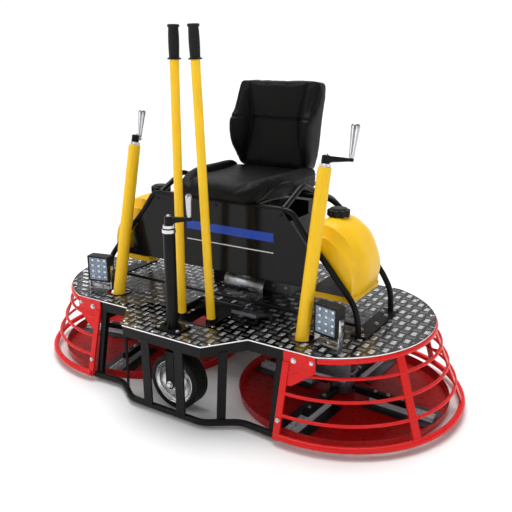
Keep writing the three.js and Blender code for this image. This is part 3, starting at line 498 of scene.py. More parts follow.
def dress(node, material, bevel=1.0, smooth_deg=35):
    """A CAD node that keeps its shape: welded, its edges rounded, with its own material."""
    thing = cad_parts[node]
    thing.data.materials.clear()
    thing.data.materials.append(material)
    thing.data.polygons.foreach_set("use_smooth", [True] * len(thing.data.polygons))
    weld = thing.modifiers.new("weld", "WELD")
    weld.merge_threshold = 0.00002
    if bevel:
        round_edges(thing, bevel, 2, smooth_deg)


def bent(points, bend, steps=7):
    """The route through points with each inner corner rounded."""
    points = [Vector(p) for p in points]
    route = [points[0]]
    for before, corner, after in zip(points, points[1:], points[2:]):
        back, on = before - corner, after - corner
        reach = min(bend, back.length / 2.2, on.length / 2.2)
        start, end = corner + back.normalized() * reach, corner + on.normalized() * reach
        for k in range(steps + 1):
            t = k / steps
            route.append(start * (1 - t) ** 2 + corner * 2 * t * (1 - t) + end * t ** 2)
    return route + [points[-1]]


def arc(x, y, radius, start_deg, end_deg, steps):
    """Points of an arc in XY."""
    angles = [math.radians(start_deg + (end_deg - start_deg) * k / steps) for k in range(steps + 1)]
    return [(x + radius * math.cos(a), y + radius * math.sin(a)) for a in angles]


def circle(x, y, radius, steps=32):
    return arc(x, y, radius, 0, 360 - 360 / steps, steps - 1)


def facing(point, direction):
    """A place whose +Z looks along direction."""
    turn = Vector((0, 0, 1)).rotation_difference(Vector(direction)).to_matrix().to_4x4()
    return Matrix.Translation(Vector(point)) @ turn


def bolt(shape, point, direction, size, slot=0, washer=True):
    """A hex-head bolt whose head stands on point, looking along direction."""
    place = facing(point, direction)
    if washer:
        rim = size * 1.15
        shape.turned([(0, 0), (rim, 0), (rim, size * 0.16), (0, size * 0.16)], 24, slot, place)
    base = size * 0.14 if washer else 0
    shape.turned([(0, base), (size * 0.92, base), (size * 0.92, base + size * 0.55),
                  (size * 0.8, base + size * 0.68), (0, base + size * 0.68)], 6, slot, place)
    return shape


def button_head(shape, point, direction, size, slot=0):
    place = facing(point, direction)
    profile = [(0, 0), (size, 0), (size, size * 0.12), (size * 0.85, size * 0.4), (size * 0.45, size * 0.52),
               (0, size * 0.52)]
    return shape.turned(profile, 20, slot, place)


# ---- deck ------------------------------------------------------------------------------------
def deck_outline(inset=0.0):
    """The same outline as the CAD deck, counter-clockwise, moved inwards by inset."""
    front, bay = DECK_FRONT - inset, BAY_FRONT - inset
    base, tip = BAY_BASE_X - BAY_SLOPE * inset, BAY_TIP_X - BAY_SLOPE * inset
    radius = END_RADIUS - inset
    angle = math.degrees(math.asin(front / radius))
    right = [(-base, -front), (-tip, -bay), (tip, -bay), (base, -front)]
    right += arc(END_X, 0, radius, -angle, angle, 60)
    left = [(base, front), (tip, bay), (-tip, bay), (-base, front)]
    return right + left + arc(-END_X, 0, radius, 180 - angle, 180 + angle, 60)


WELL = [(-108, -400), (108, -400), (108, -136), (-108, -136)]
BELT_HOLE = [(-62, 21), (12, 21), (12, 198), (-62, 198)]
TREAD_PITCH, TREAD_BARS, TREAD_SPACING, TREAD_CELLS = 38, 5, 6.6, range(-23, 24)
TREAD_BAR_HALF_LENGTH, TREAD_BAR_HALF_WIDTH, TREAD_RISE = 11.5, 1.5, 0.8


def inside(x, y, outline):
    hit = False
    for (ax, ay), (bx, by) in zip(outline, outline[1:] + outline[:1]):
        if (ay > y) != (by > y) and x < (bx - ax) * (y - ay) / (by - ay) + ax:
            hit = not hit
    return hit


def tread_bars(shape):
    """Five-bar tread: groups of short raised bars, every other group turned a quarter."""
    border = deck_outline(9)
    blocked = [
        [(-116, -408), (116, -408), (116, -128), (-116, -128)],
        [(-70, 13), (20, 13), (20, 206), (-70, 206)],
        [(-62, -520), (62, -520), (62, -432), (-62, -432)],
        [(-62, 432), (62, 432), (62, 520), (-62, 520)],
    ]
    pads = [(side * POST_X, POST_HOLE_Y, POST_HOLE_R + 6) for side in (-1, 1)]
    s, w, rise = TREAD_BAR_HALF_LENGTH, TREAD_BAR_HALF_WIDTH, TREAD_RISE
    rim = [(-s, 0), (-s * 0.7, -w), (s * 0.7, -w), (s, 0), (s * 0.7, w), (-s * 0.7, w)]
    top = [(-s * 0.72, 0), (-s * 0.5, -w * 0.35), (s * 0.5, -w * 0.35), (s * 0.72, 0), (s * 0.5, w * 0.35),
           (-s * 0.5, w * 0.35)]
    sides = [(i, (i + 1) % 6, 6 + (i + 1) % 6, 6 + i) for i in range(6)]
    for row in TREAD_CELLS:
        for column in TREAD_CELLS:
            cx, cy = column * TREAD_PITCH, row * TREAD_PITCH
            turned = (row + column) % 2
            for k in range(TREAD_BARS):
                offset = (k - (TREAD_BARS - 1) / 2) * TREAD_SPACING
                x, y = (cx + offset, cy) if turned else (cx, cy + offset)
                if not inside(x, y, border) or any(inside(x, y, hole) for hole in blocked):
                    continue
                if any(math.hypot(x - px, y - py) < r for px, py, r in pads):
                    continue
                # a turned bar has its length and width swapped, so its faces turn the other way
                verts = [(x + (v if turned else u), y + (u if turned else v), DECK_TOP + h)
                         for loop, h in ((rim, 0), (top, rise)) for u, v in loop]
                # bars along Y get the lighter metal and bars along X the darker one: painted highlight and
                # painted shade by the way a bar lies
                if turned:
                    shape.add(verts, [tuple(reversed(f)) for f in sides] + [(11, 10, 9, 8, 7, 6)], 0)
                else:
                    shape.add(verts, sides + [(6, 7, 8, 9, 10, 11)], 1)


def make_deck():
    deck = Shape()
    holes = [WELL, BELT_HOLE]
    for side in (-1, 1):
        holes.append(circle(side * POST_X, POST_HOLE_Y, POST_HOLE_R, 40))
        holes.append(circle(0, side * JACK_Y, 19, 24))
    deck.plate(deck_outline(), DECK_TOP - DECK_PLATE, DECK_TOP, holes, 0, 1)
    piece("deck_tread_plate", deck, "chassis", [TREAD, BRIGHT_EDGE], ["deck_plate"],
          bevel=0.8)
    bars = Shape()
    tread_bars(bars)
    piece("deck_tread_bars", bars, "chassis", [TREAD_BAR_LIT, TREAD_BAR_SHADED], bevel=0)

    bolts = Shape()
    rim = [(x * side, y * end) for side in (-1, 1) for end in (-1, 1)
           for x, y in ((330, 396), (430, 396), (545, 396), (272, 432), (206, 522), (130, 542), (45, 542))]
    ends = [(side * (END_X + END_BOLT_R * math.cos(math.radians(a))), END_BOLT_R * math.sin(math.radians(a)))
            for side in (-1, 1) for a in range(-48, 49, 24)]
    for x, y in rim + ends:
        button_head(bolts, (x, y, DECK_TOP), (0, 0, 1), 6.5)
    well_rim = [(sx * 120, y) for sx in (-1, 1) for y in (-385, -270, -150)]
    for x, y in well_rim:
        button_head(bolts, (x, y, DECK_TOP), (0, 0, 1), 6)
    piece("deck_bolts", bolts, "chassis", [ZINC], bevel=0)

    trim = Shape()
    for side in (-1, 1):  # rubber grommets round the posts
        ring = [(side * POST_X + (POST_HOLE_R + 0.5) * math.cos(TAU * k / 48),
                 POST_HOLE_Y + (POST_HOLE_R + 0.5) * math.sin(TAU * k / 48), DECK_TOP + 1) for k in range(48)]
        trim.tube(ring, 3.2, 10, closed=True)
    edge = bent([(-108, -330, DECK_TOP), (-108, -400, DECK_TOP), (108, -400, DECK_TOP), (108, -136, DECK_TOP),
                 (-108, -136, DECK_TOP), (-108, -330, DECK_TOP)], 6, 4)
    trim.tube(edge, 2.6, 8)
    piece("deck_grommets", trim, "chassis", [BLACK_PLASTIC], bevel=0)

    lugs = Shape()
    for side in (-1, 1):
        x = PEDAL_X + side * 62
        lugs.block((x - 4, PEDAL_Y - 9, DECK_TOP - 1), (x + 4, PEDAL_Y + 9, PEDAL_Z + 8))
    lugs.rod((PEDAL_X - 62, PEDAL_Y, PEDAL_Z), (PEDAL_X + 62, PEDAL_Y, PEDAL_Z), 3.9)
    piece("pedal_lugs", lugs, "chassis", [DARK_STEEL], bevel=0.8)


# ---- main frame and guards -------------------------------------------------------------------
def make_main_frame():
    top = DECK_TOP - DECK_PLATE - 0.3

    def edge(inset):
        base, tip = BAY_BASE_X - BAY_SLOPE * inset, BAY_TIP_X - BAY_SLOPE * inset
        front, bay = inset - DECK_FRONT, inset - BAY_FRONT
        return [(-565, front), (-base, front), (-tip, bay), (tip, bay), (base, front), (565, front)]
    end = Shape()
    end.plate(edge(3) + edge(8)[::-1], SKIRT_BOTTOM, top)
    half = [(450, -464), (300, -456), (224, -505), (176, -538)]
    route = [(-x, y) for x, y in half] + half[::-1]
    end.tube(bent([(x, y, BUMPER_Z) for x, y in route], 34, 8), BUMPER_R, 20)
    for side in (-1, 1):
        end.bar((side * 432, -403, 305), (side * 432, -460, BUMPER_Z), 26, 6, (1, 0, 0))
        end.bar((side * 422, -394, 305), (side * 422, -452, BUMPER_Z), 5, 22, (1, 0, 0))
        end.bar((side * 238, -484, 310), (side * 232, -496, BUMPER_Z), 34, 8, (109, side * 147, 0))
    for x in (-78, 83):
        end.bar((x, -550, 310), (x, -546, BUMPER_Z), 40, 8, (1, 0, 0))
    whole = front_and_back(end)
    skirt = DECK_FRONT - 4
    whole.block((-BEAM_END, -BEAM_Y - BEAM_HALF, BEAM_BOTTOM), (BEAM_END, -BEAM_Y + BEAM_HALF, top))
    whole.block((-CROSS_X, 215, BEAM_BOTTOM), (CROSS_X, 255, top))
    whole.block((-112, -136, 255), (112, -132, 300))  # black sheets behind and beside the foot well: painted shade that hides the pan where the well is dark
    whole.block((-114, -300, 255), (-110, -132, 300))
    inner = Shape()
    inner.block((CROSS_X, BEAM_Y - BEAM_HALF, BEAM_BOTTOM), (BEAM_END, BEAM_Y + BEAM_HALF, top))
    inner.block((CROSS_X - BEAM_HALF, -skirt, BEAM_BOTTOM), (CROSS_X + BEAM_HALF, skirt, top))
    inner.block((POST_X - 32, -skirt, 262), (POST_X + 32, -BEAM_Y + 8, 300))
    inner.block((POST_X - 15, BEAM_Y, BEAM_BOTTOM), (POST_X + 15, skirt, 325))
    for way in (-1, 1):
        low, high = sorted((way * 144, way * 156))
        inner.block((ROTOR_X - 30, low, TILT_Z - 30), (ROTOR_X + 30, high, BEAM_BOTTOM + 1))
        bolt(inner, (ROTOR_X - 18, way * 156, 285), (0, way, 0), 8, 1)
        bolt(inner, (ROTOR_X + 18, way * 156, 285), (0, way, 0), 8, 1)
        inner.rod((ROTOR_X, way * 120, TILT_Z), (ROTOR_X, way * 162, TILT_Z), 9, 20, 1)
    inner.block((130, -30, SHAFT_Z + 17), (170, 30, BEAM_BOTTOM + 1))
    inner.turned([(16.4, -20), (30, -20), (32, -16), (32, 16), (30, 20), (16.4, 20)], 32,
                 place=facing((150, 0, SHAFT_Z), (1, 0, 0)))
    inner.block((142, LEVER_FOOT.y - 16, LEVER_FOOT.z - 14), (158, LEVER_FOOT.y + 16, BEAM_BOTTOM + 1))
    whole.join(both_sides(inner))
    for way in (-1, 1):
        whole.rod((-ROTOR_X, way * 98, TILT_Z), (-ROTOR_X, way * 130, TILT_Z), 9, 20, 1)
    whole.rod((-150, LEVER_FOOT.y, LEVER_FOOT.z), (150, LEVER_FOOT.y, LEVER_FOOT.z), 8, 20, 1)
    piece("frame_and_bumpers", whole, "chassis", [BLACK, ZINC], ["main_frame"], bevel=1.2)


def guard_end_y(z):
    return -409 - 72 * (300 - z) / 270


def ring_circle(z, reach, tube_radius):
    """Centre and radius of the circle that a guard ring follows."""
    far = reach - tube_radius
    centre = (far ** 2 - GUARD_END_X ** 2 - guard_end_y(z) ** 2) / (2 * (far - GUARD_END_X))
    return centre, far - centre


def guard_shape():
    guard = Shape()
    for z, reach, radius in GUARD_RINGS:
        centre, size = ring_circle(z, reach, radius)
        angle = 180 - math.degrees(math.acos((centre - GUARD_END_X) / size))
        points = arc(centre, 0, size, -angle, angle, 84)
        guard.tube([(x, y, z) for x, y in points], radius, 18 if radius > 10 else 12)
    top = math.degrees(math.asin(404 / GUARD_TOP_RADIUS))
    points = arc(END_X, 0, GUARD_TOP_RADIUS, -top, top, 72)
    guard.tube([(x, y, GUARD_TOP_Z) for x, y in points], GUARD_TOP_TUBE, 16)
    low_z, low_reach, low_radius = GUARD_RINGS[0]
    centre, size = ring_circle(low_z, low_reach, low_radius)
    for degrees in GUARD_BAR_ANGLES:
        a = math.radians(degrees)
        foot = Vector((centre + size * math.cos(a), size * math.sin(a), low_z))
        outward = Vector((foot.x - END_X, foot.y, 0)).normalized()
        head = Vector((END_X, 0, GUARD_TOP_Z)) + outward * GUARD_TOP_RADIUS
        guard.bar(head, foot, 34, 7, (-math.sin(a), math.cos(a), 0))
        stub = head.lerp(foot, 0.3)
        guard.rod(stub, stub - outward * 34, 7)
    end = Shape()
    end.bar((GUARD_END_X + 5, -411.3, 300), (GUARD_END_X + 5, guard_end_y(20), 20), 26, 9, (1, 0, 0))
    upper = [(449.5, 292), (577, 292), (577, 339.5), (449.5, 339.5)]
    lower = [(449.5, 215), (492, 215), (578, 280), (577, 292), (449.5, 292)]
    lean = math.atan(0.267)
    stand = Matrix.Translation((0, -406.5, 0)) @ spun(90, "X")
    end.plate(upper, 0, 6, place=stand)
    pivot = Vector((0, -406.5, 292))
    tilt = Matrix.Translation(pivot) @ Matrix.Rotation(-lean, 4, "X") @ Matrix.Translation(-pivot)
    end.plate(lower, 0, 6, place=tilt @ stand)
    bolt(end, (492, -412.5, 311), (0, -1, 0), 9.5, 1)
    bolt(end, (562, -412.5, 318), (0, -1, 0), 7, 1)
    bolt(end, (462, guard_end_y(92) - 4.6, 92), (0, -1, -0.26), 9, 1)
    return guard.join(front_and_back(end))


def make_guards():
    right = guard_shape()
    for side, shape in (("right", right), ("left", right.mirrored(x=-1))):
        piece(f"{side}_guard_cage", shape, "chassis", [RED, ZINC], [f"{side}_guard"], bevel=0.9)


# ---- seat frame, panel, belt guard -----------------------------------------------------------
def make_seat_frame():
    whole = Shape()

    def hoop(y, corners):
        right = [(x, y, z) for x, z in corners]
        left = [(-x, y, z) for x, z in corners[::-1]]
        whole.tube(bent(right + left, 40, 8), HOOP_TUBE, 18)
    hoop(HOOP_FRONT_Y, [(630, 350), (613, 453), (473, 618), (409, 680), (337, 779), (290, 784)])
    hoop(HOOP_REAR_Y, [(642, 350), (637, 437), (602, 500), (402, 752), (352, 784), (290, 784)])
    half = Shape()
    rail = [(-165, 786), (-14, 853), (256, 753), (324, 711), (352, 640), (356, 350)]
    half.tube(bent([(RAIL_X, y, z) for y, z in rail], 26, 7), HOOP_TUBE, 18)
    floor = DECK_TOP + 0.3
    half.block((605, -185, floor), (668, 145, floor + 7))
    half.block((275, 330, floor), (325, 382, floor + 7))
    for x, y in ((648, -172), (620, -120), (648, -39), (648, 60), (620, 95), (655, 132)):
        bolt(half, (x, y, floor + 7), (0, 0, 1), 8, 1)
    for x, y in ((283, 372), (317, 372)):
        bolt(half, (x, y, floor + 7), (0, 0, 1), 6, 1)
    whole.join(both_sides(half))
    whole.block((-185, -150, 786), (185, 364, 795.5))
    whole.block((-305, 180, 776), (305, 205, 790))
    whole.block((-60, 356, 786), (60, 364, 930))
    whole.rod((-625, HOOP_FRONT_Y, 384), (625, HOOP_FRONT_Y, 384), 6.3, 16)
    piece("seat_frame_tubes", whole, "chassis", [BLACK, ZINC], ["seat_frame"], bevel=1.0)


def make_panel():
    half = [(455, 497), (455, 600), (307, 784)]
    outline = half + [(-x, z) for x, z in half[::-1]]
    stand = Matrix.Translation((0, -178, 0)) @ spun(90, "X")
    panel = Shape().plate(outline, 0, 3, place=stand)
    for x, z in ((438, 515), (438, 590), (300, 765), (0, 770)):
        for side in ((-1, 1) if x else (1,)):
            button_head(panel, (side * x, -181, z), (0, -1, 0), 6, 1)
    piece("front_panel_sheet", panel, "chassis", [GLOSS_BLACK, BLACK], ["front_panel"],
          bevel=0.8)
    stripes = Shape()
    stripes.block((-150, -181.5, 655), (268, -180.9, 690))
    stripes.block((-150, -181.5, 610), (268, -180.9, 614), 1)
    piece("panel_stripes", stripes, "chassis", [STRIPE_BLUE, STRIPE_WHITE], bevel=0)


# ---- tanks -----------------------------------------------------------------------------------
def curve(points, steps):
    """A Catmull-Rom curve from the second of the points to the last but one."""
    route = []
    for p0, p1, p2, p3 in zip(points, points[1:], points[2:], points[3:]):
        for s in range(steps):
            t = s / steps
            route.append(0.5 * (2 * p1 + (p2 - p0) * t + (2 * p0 - 5 * p1 + 4 * p2 - p3) * t ** 2
                                + (3 * p1 - p0 - 3 * p2 + p3) * t ** 3))
    return route


def smooth_loop(points, steps=5):
    points = [Vector(p) for p in points]
    return curve([points[-1], *points, points[0], points[1]], steps)


def smooth_line(points, steps=5):
    points = [Vector(p) for p in points]
    return curve([points[0], *points, points[-1]], steps) + [points[-1]]


TANK_CHEEK = [  # three outlines of the tank in XZ, right side, from the cheek to the wide middle
    (404, 688), (408, 696), (430, 699), (453, 697), (476, 694), (514, 668), (547, 630), (573, 592),
    (585, 551), (588, 508), (587, 480), (578, 476), (556, 496), (520, 540), (478, 594), (440, 642)]
TANK_SHOULDER = [
    (402, 706), (404, 724), (430, 735), (458, 736), (489, 729), (535, 699), (563, 667), (582, 624),
    (586, 585), (585, 534), (584, 488), (577, 475), (556, 492), (518, 540), (474, 598), (434, 652)]
TANK_MIDDLE = [
    (400, 704), (402, 728), (425, 741), (466, 743.5), (512, 729), (552, 698), (587, 652), (609, 610),
    (620, 566), (615, 518), (600, 480), (586, 472), (560, 482), (520, 536), (474, 598), (430, 655)]


def lofted(loops, slot=0):
    """A closed body through loops of the same number of points, capped at both ends."""
    count = len(loops[0])
    faces = [(a, d, c, b) for a, b, c, d in ring_faces(len(loops), count)]
    faces.append(tuple(range(count)))
    faces.append(tuple(reversed(range((len(loops) - 1) * count, len(loops) * count))))
    return Shape().add([v for loop in loops for v in loop], faces, slot)


def tank_shape():
    """A flat cheek, a hollowed band out to the shoulder's crease, then the wide middle."""
    cheek, shoulder, middle = (smooth_loop(points) for points in (TANK_CHEEK, TANK_SHOULDER, TANK_MIDDLE))
    centre = sum(cheek, Vector((0, 0))) / len(cheek)
    small = [centre + (p - centre) * 0.985 for p in cheek]
    stations = [(-149.8, small, small, 0), (-147, cheek, cheek, 0), (-141, cheek, cheek, 0),
                (-135, cheek, shoulder, 0.2), (-128, cheek, shoulder, 0.52), (-121, cheek, shoulder, 1),
                (-118.5, cheek, shoulder, 1), (-110, shoulder, middle, 0.22), (-98, shoulder, middle, 0.52),
                (-84, shoulder, middle, 0.8), (-64, shoulder, middle, 0.97), (-40, middle, middle, 0),
                (30, middle, middle, 0), (52, shoulder, middle, 0.85), (72, shoulder, middle, 0.4),
                (85, cheek, shoulder, 1), (88, cheek, shoulder, 1), (94, cheek, shoulder, 0.5),
                (99, cheek, cheek, 0), (106, cheek, cheek, 0), (108.8, small, small, 0)]
    return lofted([[(p.x, y, p.y) for p in (a.lerp(b, t) for a, b in zip(first, second))]
                   for y, first, second, t in stations])


def make_tanks():
    right = tank_shape()
    right.block((397, -147, 456), (592, 105, 477.5))
    right.turned([(0, -30), (33, -30), (33, -1), (27, 0), (0, 0)], 40, place=Matrix.Translation(CAP))
    fixings = Shape()
    for x, y in ((420, -130), (540, -130), (420, 90), (540, 90)):
        bolt(fixings, (x, y, 456), (0, 0, -1), 7)
    right.block((401, -143, 476), (566, 101, 479), 1)  # a black sheet on the base's top: painted shade, dark where the base lies under the tank
    for side in (-1, 1):
        name = "right" if side > 0 else "left"
        shape = right if side > 0 else right.mirrored(x=-1)
        piece(f"{name}_tank_shell", shape, "chassis", [TANK_YELLOW, BLACK], [f"{name}_tank"],
              bevel=2.2, segments=3, smooth_deg=42)
        cap = Shape()
        lobes, steps = 9, 108
        rim = [(42 + 3.5 * math.tanh(2.2 * math.cos(lobes * TAU * k / steps)), TAU * k / steps)
               for k in range(steps)]

        def ring(inset):
            return [((r - inset) * math.cos(a), (r - inset) * math.sin(a)) for r, a in rim]
        levels = [(3, 0), (0, 2), (0, 22), (2, 25.5), (7, 27.5)]
        verts = [(x, y, z) for inset, z in levels for x, y in ring(inset)]
        faces = ring_faces(len(levels), steps)
        faces.append(tuple(reversed(range(steps))))
        faces.append(tuple(range((len(levels) - 1) * steps, len(levels) * steps)))
        cap.add(verts, faces)
        cap.turned([(0, 26), (33, 27.4), (32, 32), (26, 33), (0, 31.5)], 48)
        at = moved(side * CAP.x, CAP.y, CAP.z)
        piece(f"{name}_fuel_cap", cap, f"{name}_cap", [BLACK_PLASTIC], [f"{name}_tank_cap"],
              bevel=0, place=at)
    piece("tank_bolts", both_sides(fixings), "chassis", [ZINC], bevel=0)


# ---- levers, posts, cranks -------------------------------------------------------------------
def along_lever(z):
    return LEVER_FOOT.lerp(LEVER_TOP, (z - LEVER_FOOT.z) / (LEVER_TOP.z - LEVER_FOOT.z))


def ribbed(profile, ribs, depth):
    """Vertices and faces of a round body whose (radius, height, ribbed) rings carry ribs along it."""
    steps = ribs * 8
    verts = [(0, 0, profile[0][1])]
    for radius, height, amount in profile:
        for k in range(steps):
            angle = TAU * k / steps
            r = radius - amount * depth * (0.5 - 0.5 * math.tanh(3 * math.cos(ribs * angle)))
            verts.append((r * math.cos(angle), r * math.sin(angle), height))
    verts.append((0, 0, profile[-1][1]))
    last = len(verts) - 1
    faces = ring_faces(len(profile), steps, start=1)
    faces += [(0, 1 + (k + 1) % steps, 1 + k) for k in range(steps)]
    top = last - steps
    faces += [(last, top + k, top + (k + 1) % steps) for k in range(steps)]
    return verts, faces


def make_levers():
    grip_z = LEVER_TOP.z - GRIP_LENGTH
    for name, side in (("left", -1), ("right", 1)):
        rod = Shape()
        low = 346 if side < 0 else SWAY_Z + 27
        rod.tube([along_lever(low), along_lever(low + 2), along_lever(grip_z)], LEVER_RADIUS, 32)
        x, y = LEVER_FOOT.x, LEVER_FOOT.y
        if side < 0:
            rod.rod(along_lever(LEVER_FOOT.z), along_lever(350), 13, 24, 1)
            rod.turned([(8.6, -20), (18, -20), (18, 20), (8.6, 20)], 32, 1,
                       facing((x, y, LEVER_FOOT.z), (1, 0, 0)))
        else:
            for cheek in (-22, 22):
                rod.block((x - 12, y + cheek - 3, SWAY_Z - 13), (x + 12, y + cheek + 3, SWAY_Z + 22), 1)
            rod.block((x - 12, y - 25, SWAY_Z + 16), (x + 12, y + 25, SWAY_Z + 28), 1)
        grip = Shape()
        profile = [(24.5, 0, 0), (25, 1, 0), (25, 3.6, 0), (23.5, 4.6, 0), (18.6, 7, 0), (18.4, 12, 1)]
        profile += [(18.4 + 1.3 * math.sin(math.pi * t / 10), 12 + 92 * t / 10, 1) for t in range(1, 10)]
        profile += [(18.2, 104, 1), (18.2, 107, 0), (21, 110, 0), (21.5, 112, 0), (21.5, 115.5, 0),
                    (19, 118.4, 0), (10, 119, 0)]
        upright = facing(along_lever(grip_z + 0.3), LEVER_TOP - along_lever(grip_z))
        grip.add(*ribbed(profile, 12, 0.9), place=upright)
        if side < 0:
            rod, grip = rod.mirrored(x=-1), grip.mirrored(x=-1)
        piece(f"{name}_steering_lever", rod, f"{name}_lever_arm", [YELLOW, BLACK], [f"{name}_lever"],
              bevel=0.8)
        piece(f"{name}_hand_grip", grip, f"{name}_lever_arm", [GRIP], [f"{name}_grip"],
              bevel=0)


def crank_shape(arm, radius, handle):
    """Hub, tapered flat arm and pin, standing on Z = 0; slot 1 is the bright collar."""
    shape = Shape()
    steps = 60
    knurl = [(radius + 5 + (0.9 if k % 2 else 0)) for k in range(steps)]
    loop = [(r * math.cos(TAU * k / steps), r * math.sin(TAU * k / steps)) for k, r in enumerate(knurl)]
    shape.plate(loop, 1, 12, slot=1)
    shape.turned([(0, 11), (radius, 11), (radius, 41), (radius - 3, 44), (0, 44)], 32)
    side = [(0, 14), (arm * 0.3, 21), (arm, 29), (arm, 40), (arm * 0.3, 41.5), (0, 42.5)]
    shape.plate(side, -8.5, 8.5, place=spun(90, "X"))
    shape.rod((arm, 0, 28.5), (arm, 0, 40.5), 9.5, 28)
    shape.rod((arm, 0, 39), (arm, 0, 42 + handle - 14), 4.4, 16, 1)
    bolt(shape, (0, 0, 44), (0, 0, 1), 8, 1)
    return shape


def handle_shape(length, bottom, top):
    """A pear-shaped handle that widens from bottom to top, standing on Z = 0."""
    profile = [(0, 0.4), (bottom, 0.4), (bottom + 1, 3)]
    profile += [(bottom + 1 + (top - bottom - 1) * (t / 8) ** 1.3, 3 + (length - 14) * t / 8)
                for t in range(1, 9)]
    profile += [(top - 1.2, length - 6), (top - 5, length - 1.5), (0, length - 0.5)]
    return Shape().turned(profile, 40)


def post_place(side):
    lean = spun(-POST_LEAN, "X")
    return moved(side * POST_X, POST_Y, POST_Z) @ lean


def make_posts():
    for name, side, arm_deg in (("left", -1, 122), ("right", 1, 0)):
        length, radius = POST_LENGTH[name], POST_RADIUS
        post = Shape()
        post.turned([(0, 0), (radius + 5, 0), (radius + 5, 12), (radius, 12.2), (radius, length - 2),
                     (radius - 2, length), (0, length)], 48)
        place = post_place(side)
        piece(f"{name}_post_tube", post, "chassis", [YELLOW], [f"{name}_pitch_post"],
              bevel=0.6, place=place)
        top = place @ moved(0, 0, length) @ spun(arm_deg, "Z")
        piece(f"{name}_crank_arm", crank_shape(POST_ARM, 16, POST_HANDLE), f"{name}_crank", [BLACK, ZINC],
              [f"{name}_pitch_crank"], bevel=0.7, place=top)
        at = top @ moved(POST_ARM, 0, CRANK_HEIGHT)
        piece(f"{name}_chrome_handle", handle_shape(POST_HANDLE, 9, 17), f"{name}_handle", [CHROME],
              [f"{name}_crank_handle"], bevel=0, place=at)


def make_jacks():
    for name, side in (("front", -1), ("rear", 1)):
        height = JACK_TOPS[name] - DECK_TOP
        tube = Shape()
        tube.turned([(18.6, 0.4), (JACK_OUTER, 0.4), (JACK_OUTER, height - 10), (JACK_OUTER - 2, height),
                     (8, height), (8, height - 40), (18.6, height - 60)], 40)
        corner = [(-58, -40), (58, -40), (58, 40), (-58, 40)]
        tube.plate(corner, 0.4, 8, [circle(0, 0, 19, 32)])
        for x, y in corner:
            bolt(tube, (x * 0.78, y * 0.72, 8), (0, 0, 1), 6.5, 1)
        for a in range(0, 360, 90):  # welded gussets at the foot
            turn = spun(a, "Z")
            rib = Matrix.Translation((0, 2.5, 0)) @ spun(90, "X")
            reach = 46 if a % 180 == 0 else 34
            tube.plate([(21, 7), (reach, 7), (21, 42)], 0, 5, place=turn @ rib)
        low, high = height - 16, height - 3  # the bright collar
        tube.turned([(JACK_OUTER + 0.2, low), (JACK_OUTER + 3, low), (JACK_OUTER + 3, high),
                     (JACK_OUTER + 0.2, high)], 40, 1)
        base = moved(0, side * JACK_Y, DECK_TOP)
        if side > 0:
            base = base @ spun(180, "Z")
        piece(f"{name}_jack_column", tube, "chassis", [BLACK, ZINC], [f"{name}_jack_tube"],
              bevel=0.7, place=base)
        top = base @ moved(0, 0, height) @ spun(28, "Z")
        piece(f"{name}_jack_crank_arm", crank_shape(JACK_ARM, 16, JACK_HANDLE), f"{name}_jack_crank_unit",
              [BLACK, ZINC], [f"{name}_jack_crank"], bevel=0.7, place=top)
        if side < 0:
            piece("jack_chrome_handle", handle_shape(JACK_HANDLE, 8, 12), "front_jack_handle_unit", [CHROME],
                  ["front_jack_handle"], bevel=0, place=top @ moved(JACK_ARM, 0, CRANK_HEIGHT))

        leg = Shape()
        leg.rod((0, 0, 250), (0, 0, JACK_TOPS[name] - 112), 17.4, 32)
        leg.block((-22, -30, 246), (22, 19, 258))
        fork = [(-20, WHEEL_Z), *arc(0, WHEEL_Z, 20, 180, 360, 16), (20, 252), (-20, 252)]
        stand = Matrix.Translation((0, -22, 0)) @ spun(90, "X")
        leg.plate(fork, 0, 8, place=stand)
        leg.rod((0, -24, WHEEL_Z), (0, 68, WHEEL_Z), 8.9, 20, 1)
        bolt(leg, (0, -30, WHEEL_Z), (0, -1, 0), 12, 1)
        at = moved(0, side * JACK_Y, 0)
        if side > 0:
            at = at @ spun(180, "Z")
        piece(f"{name}_jack_fork", leg, f"{name}_jack_leg_unit", [BLACK, ZINC], [f"{name}_jack_leg"],
              bevel=0.9, place=at)
        make_wheel(name, at @ moved(0, JACK_Y - WHEEL_Y, WHEEL_Z))


def make_wheel(name, place):
    """A dished polished rim and a ribbed tyre that turn about Y."""
    turn = place @ spun(90, "X")
    rim = Shape()
    dish = [(9.4, 30), (18, 30), (20, 28), (22, 13), (28, 8), (40, 7), (52, 9), (62, 14), (69, 21), (73, 27),
            (77, 28.5), (80, 30), (83, 35), (86, 37.6), (88.5, 38), (90, 37)]
    rim.turned([(r, -h) for r, h in dish] + dish[::-1], 72)
    tyre = Shape()
    profile = [(88.5, 36), (90.4, -36), (96, -39), (103, -40), (108, -38)]
    grooves = 6
    for k in range(grooves):
        start = -35 + k * 12
        profile += [(112.6, start), (113, start + 2), (113, start + 7.6), (112.6, start + 8.6)]
        if k < grooves - 1:
            profile += [(108.6, start + 9.2), (108.6, start + 11.4)]
    profile += [(108, 38), (103, 40), (96, 39)]
    tyre.turned(profile, 72)
    unit = f"{name}_wheel_unit"
    if name == "front":
        piece("front_wheel_rim", rim, unit, [RIM], ["front_wheel"], bevel=0, place=turn)
        piece("front_wheel_tyre", tyre, unit, [TYRE], ["front_tyre"], bevel=0, place=turn)
    else:
        piece("rear_wheel_rim", rim, unit, [RIM], ["rear_wheel"], bevel=0, place=turn)
        piece("rear_wheel_tyre", tyre, unit, [TYRE], bevel=0, place=turn)


